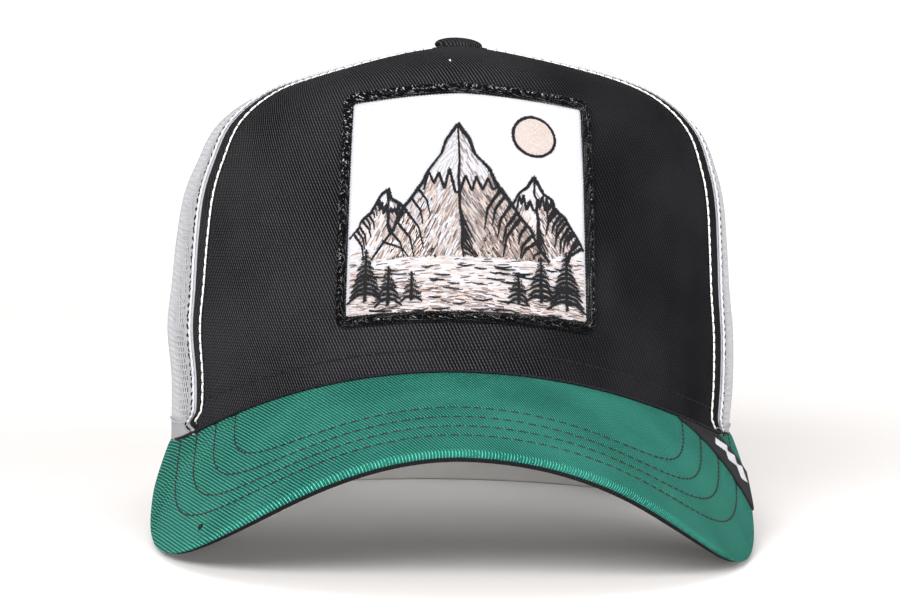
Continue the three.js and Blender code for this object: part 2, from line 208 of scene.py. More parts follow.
# Places on the patch, in mm from its middle, across and up. The view is a generic one: a peak with snow,
# a lower ridge on each side, a disc of sun, pines and a strip of ground.
GROUND = [(-33.6, -33), (33.6, -33), (33.6, -14), (20, -16.5), (0, -17.5), (-20, -16), (-33.6, -12)]
GROUND_SHADE = [(-33.6, -33), (33.6, -33), (33.6, -20), (8, -26), (-12, -25), (-33.6, -20)]
GROUND_STROKES = 60
# Snow is the snow line as a share of the height from the top. Base raises the front one over the others.
MOUNTAINS = [
    {"summit": (19, 8.5), "left": (2, -17), "right": (33.6, -12), "snow": 0.3, "base": 0.0},
    {"summit": (-23, 4), "left": (-33.6, -10), "right": (-9, -17), "snow": 0.28, "base": 0.0},
    {"summit": (-3, 23), "left": (-27, -17), "right": (23, -17), "snow": 0.4, "base": 0.38},
]
SNOW_TEETH = 7
LIT_ANGLE = math.radians(64)
SHADED_ANGLE = math.radians(-60)
SUN = {"centre": (19.5, 21.5), "radius": 6.2}
# Middle, foot and height
PINES = [
    (-28.5, -29, 15), (-22, -30.5, 11), (-15.5, -29.5, 8), (14, -30, 9), (20.5, -29, 13), (28, -30.5, 17),
]
LIGHT_THREADS = ["beige"] * 5 + ["white_thread"] * 3 + ["taupe"] * 2 + ["umber"]
SHADE_THREADS = ["taupe"] * 6 + ["umber"] * 3 + ["beige"] * 3
SNOW_THREADS = ["white_thread"] * 9 + ["beige"]
SHADED_SNOW_THREADS = ["white_thread", "white_thread", "taupe"]

BUTTON_RADIUS = 7
BUTTON_HEIGHT = 2.4
BUTTON_SEAT = 0.6
BUTTON_TILT = math.radians(2.5)
BUTTON_PUFF = 0.3
BUTTON_ASIDE = -0.4
# Under the button's edge: distances in from it, and heights
BUTTON_TURN = ((0.3, -0.7), (1.0, -1.1))
LABEL_ROOT = (math.radians(48.8), math.radians(66.5))
LABEL_EDGE = ((88.3, -50.0), (87.8, -26.0))
LABEL_LIFT = 0.75
LABEL_WALL = 0.55
# The label's mark: the middles of its lozenges along the label, half their length and width, all as shares
LOZENGES = (0.19, 0.41, 0.63)
LOZENGE_HALF = 0.105
LOZENGE_ACROSS = (0.55, 0.24)
LOZENGE_STROKES = 9

# Rows of stitches on the peak, as squared ellipses: half widths, centres and powers on the left and right,
# and the row's foremost point
PEAK_ROWS = [
    {"half": (63.5, 66.5), "centre": (-70, -52), "power": (2.6, 3.1), "tip": -128.3},
    {"half": (69.5, 72.1), "centre": (-67, -47), "power": (2.5, 2.88), "tip": -137.0},
    {"half": (75.5, 77.8), "centre": (-61, -41), "power": (2.4, 2.65), "tip": -145.6},
    {"half": (81.0, 83.7), "centre": (-55, -34), "power": (2.3, 2.48), "tip": -153.9},
]
ROW_DIP = 0.3
ROW_DIP_WIDTH = 0.8
# The peak's turned edge: its share of the grid, its depth, inward tuck and round corner, and the cloth's wall
PEAK_ROLL = 0.1
PEAK_EDGE = 1.8
PEAK_TUCK = 0.35
PEAK_CORNER = 0.9
PEAK_CLOTH = 0.4
# It is thinner near both ends, over a share of the outline, and thicker between two heights
PEAK_END_THIN = 0.45
PEAK_END_SHARE = 0.1
PEAK_HIGH_MORE = 0.22
PEAK_HIGH = (6, 22)

# Small marks: a dark speck on the left of the peak, and a fleck of lint on the front, as angle and level
SPECK = (-70.8, -118.9)
FLECK = (-0.0574, 0.7455)
FLECK_HALF = 0.006

# Rows of stitches: slot, thread, length or 0 where a setting gives it, thickness, gap and how deep they lie
STITCHES = {
    "panel_hem_topstitch": ("front_twill", "black_thread", 2.4, 0.45, 0.7, 0.6),
    # The black cord along the peak's seam is painted shade, for the contact shadow there
    "root_cord": ("front_twill", "black_thread", 2.2, 0.8, 0.15, 0.3),
    "front_topstitch": ("front_twill", "topstitch", 0, 0.6, 0.35, 0.3),
    "net_edge_stitch": ("mesh", "white_thread", 2.2, 0.9, 0.15, 0.3),
    "net_topstitch": ("mesh", "black_thread", 1.0, 0.6, 1.2, 0.3),
    "net_second_stitch": ("mesh", "black_thread", 0.8, 0.5, 2.1, 0.3),
    "hem_topstitch": ("mesh", "grey_thread", 2.2, 0.45, 0.5, 0.3),
    "back_topstitch": ("mesh", "grey_thread", 2.0, 0.45, 0.5, 0.3),
    "binding_topstitch": ("binding", "grey_thread", 2.0, 0.45, 0.5, 0.3),
    "sweatband_topstitch": ("sweatband", "black_thread", 2.4, 0.45, 0.6, 0.3),
    "peak_topstitch": ("peak_twill", "peak_thread", 0, 0.55, 1.1, 0.7),
    "peak_under_stitch": ("under_twill", "black_thread", 0, 0.5, 0.8, 0.3),
    "panel_lint": ("front_twill", "white_thread", 0.7, 0.6, 0.05, 0.3),
}

# Twills: how far the ribs slant, and where along X they grow faint and how faint. That is painted shade: the
# ribs' painted highlights dim towards the right.
PANEL_SLANT = math.radians(25)
PANEL_PAINTED_SHADE = (0.002, 0.042, 0.25)
PEAK_SLANT = math.radians(18.5)
PEAK_PAINTED_SHADE = (-0.07, 0.0, 0.66)
PEAK_PITCH = 0.94
UNDER_SLANT = math.radians(-18)
# Threads: name of the material, setting that gives its colour, roughness, sheen and how streaky it is
THREADS = {
    "topstitch": ("cream_thread", "topstitch", 0.6, 0.2, 0.35),
    "peak_thread": ("peak_thread", "peak_thread", 0.6, 0.1, 0.35),
    "black_thread": ("black_thread", "black_thread", 0.6, 0.02, 0.35),
    "grey_thread": ("grey_thread", "tape", 0.6, 0.1, 0.35),
    "white_thread": ("white_thread", "field", 0.5, 0.2, 0.12),
    "umber": ("umber_thread", "umber", 0.55, 0.1, 0.35),
    "taupe": ("taupe_thread", "taupe", 0.5, 0.2, 0.35),
    "beige": ("beige_thread", "beige", 0.5, 0.2, 0.2),
}

# Stage, in metres. Lights: name, place, size, share of the key light's power and the place that they point at
CAMERA_TARGET = (-0.0006, 0.02972, 0.0668)
LIGHTS = [
    ("key", (-0.45, -1.4, 0.72), (0.9, 0.5), 1.0, (0, 0, 0.07)),
    ("low", (0.1, -1.4, 0.16), (1.0, 0.12), 0.38, (0, 0, 0)),
    ("fill", (1.0, -1.0, 0.55), (1.0, 0.8), 0.4, (0, 0, 0.07)),
    ("top", (0.0, 0.1, 1.4), (1.0, 1.0), 0.2, (0, 0, 0.07)),
]
FLOOR_HALF = 0.8
FLOOR_COLOURS = ((0.91, 0.88, 0.862), (0.94, 0.91, 0.892))
# The floor glows more and more from one distance to another, as painted light by emission and not a lamp, and
# the backdrop grows lighter between two directions along Y
FLOOR_GLOW = (0.16, 0.7, 0.0, 0.24)
BACKDROP_FROM = 0.75
BACKDROP_FULL = 0.93
BACKDROP_LIGHT = 1.08


# Sizes and colours that a user would change


def colour(name, description, default):
    return FloatVectorProperty(name=name, description=description, default=default, subtype="COLOR",
                               min=0, max=1)


def length(name, description, millimetres):
    return FloatProperty(name=name, description=description, default=millimetres * MM, unit="LENGTH")


class CapColours(bpy.types.PropertyGroup):
    # The rib colours are partly painted highlight on the raised threads, and the ground colours partly painted
    # shade between them
    panel: colour("Panel", "Twill of the front panel and button", (0.002, 0.002, 0.003))
    panel_rib_highlight: colour("Panel rib", "Raised threads of the front twill", (0.104, 0.1, 0.108))
    peak: colour("Peak", "Green twill of the peak", (0.005, 0.062, 0.047))
    peak_rib_highlight: colour("Peak rib", "Raised threads of the green twill", (0.15, 0.74, 0.57))
    net: colour("Net", "Yarn of the net", (0.45, 0.45, 0.47))
    tape: colour("Tape", "Grey seam tape and binding", (0.45, 0.45, 0.47))
    topstitch: colour("Topstitch", "Cream thread beside the front panel's seams", (0.84, 0.79, 0.72))
    peak_thread: colour("Peak thread", "Dark thread of the peak's rows", (0.02, 0.007, 0.008))
    black_thread: colour("Black thread", "Thread of the patch border and line work", (0.006, 0.006, 0.008))
    field: colour("Field", "White ground of the patch", (0.5, 0.496, 0.53))
    umber: colour("Umber", "Darkest embroidery thread but black", (0.085, 0.058, 0.052))
    taupe: colour("Taupe", "Shaded embroidery thread", (0.23, 0.17, 0.155))
    beige: colour("Beige", "Light embroidery thread", (0.44, 0.37, 0.335))


class CapWeave(bpy.types.PropertyGroup):
    twill_pitch: length("Twill pitch", "Distance between the front twill's slanting ribs", 0.9)
    net_side: length("Net side", "Side of one six-sided opening of the net", 1.2)
    net_strand: length("Net strand", "Thickness of the net's yarn", 0.45)
    wrap_pitch: length("Wrap pitch", "Distance between the border's wraps of thread", 1.05)


class CapStitching(bpy.types.PropertyGroup):
    seam_stitch: length("Seam stitch", "Length of a cream topstitch", 2.5)
    peak_stitch: length("Peak stitch", "Length of a stitch on the peak", 2.35)
    embroidery_seed: IntProperty(name="Embroidery seed", default=7,
                                 description="Seed of the hand-made variation")


class CapStage(bpy.types.PropertyGroup):
    distance: FloatProperty(name="Distance", description="Camera to cap", default=1.3, unit="LENGTH")
    height_angle: FloatProperty(name="Height angle", default=math.radians(4.5), subtype="ANGLE",
                                description="How far the camera looks down")
    side_angle: FloatProperty(name="Side angle", default=math.radians(-1.0), subtype="ANGLE",
                              description="How far the camera stands to the right")
    roll: FloatProperty(name="Roll", default=math.radians(0.8), subtype="ANGLE",
                        description="How far the picture is turned clockwise")
    lens: FloatProperty(name="Lens", description="Focal length in mm", default=170.8)
    key_light: FloatProperty(name="Key light", default=30,
                             description="Power of the large soft light, in watts")
    room_light: FloatProperty(name="Room light", description="Light from all round", default=0.4)


# Shapes that the pieces lie on. Angles, levels and places are arrays, and points have x, y and z last.


def unit(vectors):
    return vectors / np.linalg.norm(vectors, axis=-1, keepdims=True)


def smooth(value, low, high):
    share = np.clip((value - low) / (high - low), 0, 1)
    return share * share * (3 - 2 * share)


def bell(value, width):
    return np.exp(-((value / width) ** 2))


def rounded_over(share, power):
    """1 in the middle of the shares from 0 to 1, and 0 at both ends."""
    return np.sqrt(np.clip(1 - (2 * share - 1) ** power, 0, 1))


def flattened_sine(turn, power):
    return np.sign(np.sin(turn)) * np.abs(np.sin(turn)) ** power


def spline(rows, share):
    """Points at shares from 0 to 1 of a smooth curve through the rows."""
    rows = np.asarray(rows, float)
    last = len(rows) - 1
    along = np.clip(share, 0, 1) * last
    first = np.minimum(np.floor(along).astype(int), last - 1)
    w = (along - first)[..., None]
    before, start, end, after = (rows[np.clip(first + n, 0, last)] for n in (-1, 0, 1, 2))
    leave = (end - before) / 2
    arrive = (after - start) / 2
    cubic = 2 * start - 2 * end + leave + arrive
    square = -3 * start + 3 * end - 2 * leave - arrive
    return ((cubic * w + square) * w + leave) * w + start


def rim(angle, outset=0):
    x = RIM_HALF_WIDTH * np.sin(angle)
    y = -RIM_HALF_LENGTH * np.cos(angle)
    outward = unit(np.stack([x / RIM_HALF_WIDTH**2, y / RIM_HALF_LENGTH**2], -1))
    return x + outset * outward[..., 0], RIM_CENTRE_Y + y + outset * outward[..., 1]


def outward_share(x, y):
    return np.hypot(x / RIM_HALF_WIDTH, (y - RIM_CENTRE_Y) / RIM_HALF_LENGTH)


def peak_height(x, y):
    bend, crest, drop = (np.where(x < 0, *pair) for pair in zip(PEAK_BEND["left"], PEAK_BEND["right"]))
    arc = bend - np.sqrt(bend**2 - x**2)
    front = x**2 / (2 * crest) + drop * (x / PEAK_DROP_AT) ** 4
    tip = outward_share(0, RIM_FRONT - PEAK_LENGTH)
    share = np.clip((outward_share(x, y) - 1) / (tip - 1), 0, 1)
    return PEAK_SEAM_TOP + PEAK_SLOPE * (y - RIM_FRONT) - (arc + (front - arc) * share)


def peak_normal(x, y):
    step = 0.01
    along_x = (peak_height(x + step, y) - peak_height(x - step, y)) / (2 * step)
    along_y = (peak_height(x, y + step) - peak_height(x, y - step)) / (2 * step)
    return unit(np.stack([-along_x, -along_y, np.ones_like(along_x)], -1))


def on_peak(x, y, lift=0):
    points = np.stack([x, y, peak_height(x, y)], -1)
    return points + np.asarray(lift)[..., None] * peak_normal(x, y)


def seam_height(angle):
    """Height of the line where the crown meets the peak, which falls to the floor behind it."""
    along = np.abs(angle)

    def at(a):
        return peak_height(*rim(np.minimum(a, PEAK_END)))

    step = 0.001
    end = np.asarray(PEAK_END)
    span = FLAT_FROM - PEAK_END
    slope = (at(end) - at(end - step)) / step * span
    q = np.clip((along - PEAK_END) / span, 0, 1)
    fall = 2 * q**3 - 3 * q**2 + 1
    behind = at(end) * fall + slope * (q**3 - 2 * q**2 + q) + HEM_DEPTH * (1 - fall)
    return np.where(along <= PEAK_END, at(along), behind)


def crown(angle, level):
    angle, level = np.broadcast_arrays(np.asarray(angle, float), np.asarray(level, float))
    held = np.maximum(level, 0)
    curve = {name: spline(rows, held) for name, rows in SECTIONS.items()}
    ends = np.where(np.cos(angle)[..., None] > 0, curve["front"], curve["back"])
    sides = np.where(np.sin(angle)[..., None] < 0, curve["left"], curve["right"])
    section = ends + (sides - ends) * (np.abs(np.sin(angle)) ** SIDE_POWER)[..., None]
    x, y = rim(angle)
    seam = seam_height(angle)
    below = HEM_DEPTH * np.minimum(level, 0) / HEM_SHARE
    across = AXIS_X + section[..., 0] * (x - AXIS_X)
    rise = CROWN_RISE * smooth(level, *CROWN_RISE_LEVELS) * bell(across - CROWN_RISE_X, CROWN_RISE_WIDTH)
    return np.stack(
        [
            across,
            AXIS_Y + section[..., 0] * (y - AXIS_Y),
            seam + section[..., 1] * (CROWN_TOP - seam) + below + rise,
        ],
        -1,
    )


def crown_directions(angle, level):
    """Steps along the rim for each radian, and the normals."""
    step = 0.0005
    angle, level = np.broadcast_arrays(np.asarray(angle, float), np.asarray(level, float))
    along = crown(angle + step, level) - crown(angle - step, level)
    up = crown(angle, level + step) - crown(angle, level - step)
    up = np.where(level[..., None] < -step, np.array([0.0, 0.0, 1.0]), up)
    return along / (2 * step), unit(np.cross(along, up))


def on_crown(angle, level, lift=0):
    normal = crown_directions(angle, level)[1]
    return crown(angle, level) + np.asarray(lift)[..., None] * normal


def beside(angle, level, aside):
    """The angle that lies a distance in mm to the right of another, as seen from outside."""
    steps = 8
    for _ in range(steps):
        speed = np.linalg.norm(crown_directions(angle, level)[0], axis=-1)
        angle = angle + aside / steps / np.maximum(speed, 1)
    return angle


def level_at(angle, height):
    """The level at which the crown has a height, by halving, below its rounded top."""
    low = np.full(np.shape(angle), -HEM_SHARE)
    high = np.full(np.shape(angle), STEEP_TO)
    for _ in range(30):
        middle = (low + high) / 2
        under = crown(angle, middle)[..., 2] < height
        low = np.where(under, middle, low)
        high = np.where(under, high, middle)
    return low


def front_seam(side, level):
    """Angle of a front seam, which spreads towards the top and swings back near the button."""
    spread = SEAM_SPREAD * smooth(level, 0, SEAM_FULL_LEVEL)
    return TURN + side * (SEAM_AT_RIM + spread + SEAM_SWEEP * smooth(level, *SEAM_SWEEP_LEVELS))


def fixed(angle):
    """A seam that stays at one angle."""

    def seam(level):
        return np.full(np.shape(level), angle)

    return seam


def crown_row(angle, level, lift):
    """A row for stitches on the crown: its points and their normals."""
    return on_crown(angle, level, lift), crown_directions(angle, level)[1]


def lengths_along(points):
    """Distance in mm from the first point to each one."""
    steps = np.linalg.norm(np.diff(points, axis=0), axis=-1)
    return np.concatenate([[0], np.cumsum(steps)])


def at_shares(plan, share):
    """x and y at shares of a plan's length."""
    run = lengths_along(plan)
    return tuple(np.interp(share * run[-1], run, plan[:, k]) for k in range(2))


PATCH_LEVELS = np.linspace(0, 0.9, 1500)
PATCH_LENGTHS = lengths_along(crown(PATCH_ANGLE, PATCH_LEVELS))


def on_front(across, up, lift=0):
    """Points of the patch, from its middle, in mm along the cloth. It is a little wider at its foot."""
    across, up = np.broadcast_arrays(np.asarray(across, float), np.asarray(up, float))
    level = np.interp(PATCH_MIDDLE + up, PATCH_LENGTHS, PATCH_LEVELS)
    angle = np.full(across.shape, PATCH_ANGLE)
    angle = beside(angle, level, across * (PATCH_EASE - PATCH_FLARE * up / (PATCH_HEIGHT / 2)))
    return on_crown(angle, level, lift)


# From the shapes' frame to the row's, taken from where the button lies
LOW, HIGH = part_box("button")
ORIGIN = np.array(
    [
        (LOW.x + HIGH.x) / 2 - AXIS_X * MM,
        (LOW.y + HIGH.y) / 2 - AXIS_Y * MM,
        HIGH.z - (CROWN_TOP + BUTTON_SEAT + BUTTON_HEIGHT) * MM,
    ]
)


def place(points):
    return np.asarray(points) * MM + ORIGIN


# Meshes


def linked(name, data):
    thing = bpy.data.objects.new(name, data)
    bpy.context.scene.collection.objects.link(thing)
    return thing


def finished(bm, name, material, replaces=()):
    """A smooth object from a bmesh, which rides on the cap. Material is a key of MATERIALS."""
    mesh = bpy.data.meshes.new(name)
    bm.to_mesh(mesh)
    bm.free()
    mesh.shade_smooth()
    mesh.materials.append(MATERIALS[material])
    piece = linked(name, mesh)
    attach(piece, BODY)
    if replaces:
        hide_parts(*replaces)
    return piece


def bent_grid(surface, columns, rows, cloth=None, upright=False):
    """A bmesh grid moved onto a surface, which takes shares from 0 to 1 across and up and gives points in
    mm. Its Cloth map holds lengths along the cloth in metres, or what cloth gives for the same shares. Where
    it is upright, the lengths start at one height and not at the lower edge."""
    bm = bmesh.new()
    layer = bm.loops.layers.uv.new("Cloth")
    bmesh.ops.create_grid(bm, x_segments=columns, y_segments=rows, size=0.5)
    shares = np.array([vert.co[:2] for vert in bm.verts]) + 0.5
    points = surface(shares[:, 0], shares[:, 1])
    for vert, point in zip(bm.verts, place(points)):
        vert.co = point
    if cloth is None:
        i = np.rint(shares[:, 0] * columns).astype(int)
        j = np.rint(shares[:, 1] * rows).astype(int)
        table = np.zeros((rows + 1, columns + 1, 3))
        table[j, i] = points
        across = np.zeros((rows + 1, columns + 1))
        across[:, 1:] = np.cumsum(np.linalg.norm(np.diff(table, axis=1), axis=-1), axis=1)
        across -= across[:, columns // 2][:, None]
        up = np.zeros((rows + 1, columns + 1))
        up[1:] = np.cumsum(np.linalg.norm(np.diff(table, axis=0), axis=-1), axis=0)
        if upright:
            up += (table[0, :, 2] - table[0, columns // 2, 2])[None, :]
        places = np.stack([across[j, i], up[j, i]], -1) * MM
    else:
        places = np.stack(cloth(shares[:, 0], shares[:, 1]), -1) * MM
    for face in bm.faces:
        for loop in face.loops:
            loop[layer].uv = places[loop.vert.index]
    return bm


def closed_tube(surface, columns, rows):
    """A bent grid whose first and last rows meet, with both ends filled."""
    bm = bent_grid(surface, columns, rows)
    bmesh.ops.remove_doubles(bm, verts=bm.verts[:], dist=1e-6)
    bmesh.ops.holes_fill(bm, edges=[edge for edge in bm.edges if edge.is_boundary], sides=0)
    bmesh.ops.recalc_face_normals(bm, faces=bm.faces[:])
    return bm


def thicken(piece, millimetres):
    """A wall that grows inwards from the outer face."""
    wall = piece.modifiers.new("Wall", "SOLIDIFY")
    wall.thickness = millimetres * MM
    wall.offset = -1


def capsule(length, thickness, bow, sides=6, rings=6):
    """Vertices and faces of one stitch along X, whose middle is raised by bow."""
    bm = bmesh.new()
    turned = Matrix.Rotation(math.pi / 2, 4, "Y")
    bmesh.ops.create_uvsphere(bm, u_segments=sides, v_segments=rings, radius=thickness / 2, matrix=turned)
    for vert in bm.verts:
        if abs(vert.co.x) > thickness / 50:
            vert.co.x += math.copysign((length - thickness) / 2, vert.co.x)
        else:
            vert.co.z += bow
    bmesh.ops.recalc_face_normals(bm, faces=bm.faces[:])
    bm.verts.ensure_lookup_table()
    verts = np.array([vert.co[:] for vert in bm.verts])
    faces = [[vert.index for vert in face.verts] for face in bm.faces]
    bm.free()
    return verts, faces


def repeated(template, centres, along, normals, scales=None):
    """One bmesh with a template at each centre, its X along a direction and its Z up a normal."""
    verts, faces = template
    side = unit(np.cross(normals, along))
    along = np.cross(side, normals)
    scales = np.ones((len(centres), 3)) if scales is None else scales
    axes = np.stack([along, side, normals], 1) * scales[:, :, None]
    points = np.einsum("vk,nkc->nvc", verts, axes) + centres[:, None, :]
    mesh = bpy.data.meshes.new("repeated")
    offsets = np.arange(len(centres)) * len(verts)
    joined = [[v + offset for v in face] for offset in offsets.tolist() for face in faces]
    mesh.from_pydata(place(points.reshape(-1, 3)).tolist(), [], joined)
    bm = bmesh.new()
    bm.from_mesh(mesh)
    bpy.data.meshes.remove(mesh)
    return bm


def stitches(name, lines, stitch=None):
    """Rows of stitches along lines, each a pair of arrays of points and normals in mm. Their sizes are in
    STITCHES, other than a length that is given."""
    slot, material, length, thread, gap, sunk = STITCHES[name]
    stitch = stitch or length
    centres, along, normals = [], [], []
    for points, ups in lines:
        run = lengths_along(points)
        count = max(int(run[-1] / (stitch + gap)), 1)
        pitch = run[-1] / count
        middle = (np.arange(count) + 0.5) * pitch
        ends = [np.stack([np.interp(middle + s, run, points[:, k]) for k in range(3)], -1)
                for s in (-stitch / 2, stitch / 2)]
        up = unit(np.stack([np.interp(middle, run, ups[:, k]) for k in range(3)], -1))
        centres.append((ends[0] + ends[1]) / 2 + up * thread * (0.5 - sunk))
        along.append(unit(ends[1] - ends[0]))
        normals.append(up)
    template = capsule(stitch + thread / 2, thread, thread / 5)
    bm = repeated(template, np.concatenate(centres), np.concatenate(along), np.concatenate(normals))
    return finished(bm, name, material)


# Materials: each is built from nodes, and patterns read the Cloth map or Object coordinates


class Nodes:
    """Adds nodes to one material."""

    def __init__(self, name, roughness, **sockets):
        self.material = bpy.data.materials.new(name)
        self.material.use_nodes = True
        self.tree = self.material.node_tree
        self.shader = self.tree.nodes["Principled BSDF"]
        self.shader.inputs["Roughness"].default_value = roughness
        for socket, value in sockets.items():
            self.shader.inputs[socket.replace("_", " ")].default_value = value

    def add(self, kind, inputs, output=0, **settings):
        made = self.tree.nodes.new("ShaderNode" + kind)
        for name, value in settings.items():
            setattr(made, name, value)
        for socket, value in inputs.items():
            if isinstance(value, bpy.types.NodeSocket):
                self.tree.links.new(value, made.inputs[socket])
            else:
                made.inputs[socket].default_value = value
        return made.outputs[output]

    def math(self, operation, *values):
        return self.add("Math", dict(enumerate(values)), operation=operation)

    def noise(self, vector, scale, detail=2.0):
        return self.add("TexNoise", {"Vector": vector, "Scale": scale, "Detail": detail})

    def plus(self, base, value, share):
        """The base and a share of the value."""
        return self.math("ADD", base, self.math("MULTIPLY", value, share))

    def mix(self, factor, first, second):
        """Between two sockets or colours."""
        ends = [end if isinstance(end, bpy.types.NodeSocket) else (*end, 1.0) for end in (first, second)]
        return self.add("Mix", {0: factor, 6: ends[0], 7: ends[1]}, output=2, data_type="RGBA")

    def ramp(self, value, low, high, first=0.0, last=1.0):
        return self.add("MapRange", {0: value, 1: low, 2: high, 3: first, 4: last},
                        interpolation_type="SMOOTHSTEP")

    def part(self, vector, axis):
        return self.add("SeparateXYZ", {0: vector}, output=axis)

    def cloth(self):
        """The Cloth map, and its lengths across and up."""
        cloth = self.add("UVMap", {}, uv_map="Cloth")
        return cloth, self.part(cloth, 0), self.part(cloth, 1)

    def where(self):
        """Object coordinates."""
        return self.add("TexCoord", {}, output=3)

    def link(self, value, socket):
        self.tree.links.new(value, self.shader.inputs[socket])

    def colour(self, value):
        self.link(value, "Base Color")

    def bump(self, height, depth):
        self.link(self.add("Bump", {"Height": height, "Distance": depth}), "Normal")


def scaled(rgb, factor, more=0.0):
    return [min(part * factor + more, 1) for part in rgb]


def twill(name, ground, rib, slant, pitch, painted_side_shade=None):
    """Cloth with slanting ribs, each twisted from short floats of thread. The ribs' colour is partly painted
    highlight on the raised floats, and the ground partly painted shade between them. The last argument gives
    where, along X, the ribs grow faint, and how faint: painted shade towards the right."""
    n = Nodes(name, 0.9, Specular_IOR_Level=0.05)
    cloth, _, _ = n.cloth()
    turned = n.add("Mapping", {"Vector": cloth, "Rotation": (0, 0, -slant),
                               "Scale": (1 / pitch, 1 / pitch, 1)})
    x = n.plus(n.part(turned, 0), n.noise(cloth, 260.0, 1.0), 0.3)
    ridge = n.ramp(n.math("PINGPONG", x, 0.5), 0.26, 0.47)
    row = n.math("FLOOR", x)
    along = n.plus(n.math("MULTIPLY", n.part(turned, 1), 0.9), row, 0.37)
    floats = n.ramp(n.math("PINGPONG", along, 0.5), 0.0, 0.2, 0.15, 1.0)
    height = n.math("MULTIPLY", ridge, floats)
    fibres = n.noise(cloth, 5200.0, 3.0)
    worn = n.noise(cloth, 28.0, 3.0)
    factor = n.math("MULTIPLY", height, n.ramp(fibres, 0.25, 0.7, 0.25, 1.0))
    # Painted shade: the ribs' highlights grow faint towards the right of the cap
    if painted_side_shade:
        side = n.part(n.where(), 0)
        factor = n.math("MULTIPLY", factor, n.ramp(side, painted_side_shade[0], painted_side_shade[1], 1.0, painted_side_shade[2]))
    base = n.mix(n.ramp(worn, 0.3, 0.7, 0.0, 0.07), ground, rib)
    # Painted highlight and shade: the raised floats take the light rib colour, and the ground between them the
    # dark one
    n.colour(n.mix(factor, base, rib))
    n.bump(n.plus(height, fibres, 0.4), 0.00022)
    return n.material


def thread(name, rgb, roughness, sheen, streak):
    """Sewing or embroidery thread: fine twisted strands with a soft shine."""
    n = Nodes(name, roughness, Specular_IOR_Level=0.08, Sheen_Weight=sheen / 6, Sheen_Roughness=0.4)
    where = n.where()
    fine = n.noise(where, 1400.0)
    strands = n.plus(n.math("MULTIPLY", fine, 0.6), n.noise(where, 160.0), 0.4)
    n.colour(n.mix(strands, scaled(rgb, 1 - streak), scaled(rgb, 1 + streak, 0.01)))
    n.bump(fine, 0.00012)
    return n.material


def net_yarn(rgb):
    """Matt yarn of the net, a little uneven in shade."""
    n = Nodes("net_yarn", 0.6, Specular_IOR_Level=0.25, Sheen_Weight=0.03)
    where = n.where()
    fine = n.noise(where, 1800.0)
    strands = n.plus(n.math("MULTIPLY", fine, 0.5), n.noise(where, 60.0), 0.5)
    n.colour(n.mix(strands, scaled(rgb, 0.78), scaled(rgb, 1.15)))
    n.bump(fine, 0.0001)
    return n.material


def tape_cloth(name, rgb, pitch=0.55):
    """Woven tape with ribs across it."""
    n = Nodes(name, 0.85, Specular_IOR_Level=0.12, Sheen_Weight=0.03)
    cloth, x, y = n.cloth()
    ribs = n.math("PINGPONG", n.math("DIVIDE", y, pitch * MM), 0.5)
    yarns = n.math("PINGPONG", n.math("DIVIDE", x, pitch * MM * 0.8), 0.5)
    height = n.plus(n.ramp(ribs, 0.0, 0.4), n.ramp(yarns, 0.0, 0.4), 0.6)
    fine = n.noise(cloth, 3800.0)
    factor = n.plus(n.math("MULTIPLY", height, 0.3), fine, 0.4)
    factor = n.plus(factor, n.noise(cloth, 90.0), 0.2)
    n.colour(n.mix(factor, scaled(rgb, 0.6), scaled(rgb, 1.2, 0.004)))
    n.bump(n.plus(height, fine, 0.5), 0.00016)
    return n.material


def satin_ground(rgb):
    """The patch's ground: rows of white satin stitches."""
    n = Nodes("satin_ground", 0.65, Specular_IOR_Level=0.2)
    cloth, x, y = n.cloth()
    y = n.plus(n.math("DIVIDE", y, 0.42 * MM), n.noise(cloth, 500.0, 1.0), 0.6)
    row = n.math("FLOOR", y)
    lines = n.ramp(n.math("PINGPONG", y, 0.5), 0.02, 0.35)
    along = n.plus(n.math("DIVIDE", x, 3.2 * MM), row, 0.31)
    ends = n.ramp(n.math("PINGPONG", along, 0.5), 0.0, 0.07, 0.4, 1.0)
    height = n.math("MULTIPLY", lines, ends)
    fine = n.noise(cloth, 3000.0)
    n.colour(n.mix(n.plus(n.math("MULTIPLY", height, 0.8), fine, 0.35), scaled(rgb, 0.74), rgb))
    n.bump(n.plus(height, fine, 0.4), 0.00012)
    return n.material


def wrapped_thread(rgb, pitch):
    """Shiny thread wrapped round the border, with painted highlights: broken light grey spots on the wraps
    where they would catch the light.
    """
    n = Nodes("wrapped_thread", 0.5, Specular_IOR_Level=0.06)
    cloth, x, y = n.cloth()
    strand = n.math("DIVIDE", n.plus(x, y, 0.35), pitch / 4)
    plies = n.ramp(n.math("PINGPONG", strand, 0.5), 0.05, 0.4)
    # Painted highlights: noise picks out spots where the black thread turns light grey
    painted_glints = n.ramp(n.noise(cloth, 1150.0), 0.58, 0.66)
    n.colour(n.mix(n.math("MULTIPLY", plies, painted_glints), scaled(rgb, 0.4), scaled(rgb, 1, 0.8)))
    n.bump(n.plus(plies, painted_glints, 0.5), 0.00012)
    return n.material


def moulded_plastic(name, rgb):
    """Satin plastic with faint scuffs."""
    n = Nodes(name, 0.42)
    where = n.where()
    scuffs = n.noise(where, 90.0, 4.0)
    n.colour(n.mix(n.ramp(scuffs, 0.45, 0.75, 0.0, 0.5), rgb, scaled(rgb, 1.15)))
    n.link(n.ramp(scuffs, 0.3, 0.8, 0.36, 0.58), "Roughness")
    n.bump(n.noise(where, 2400.0), 0.00005)
    return n.material


MATERIALS = {}


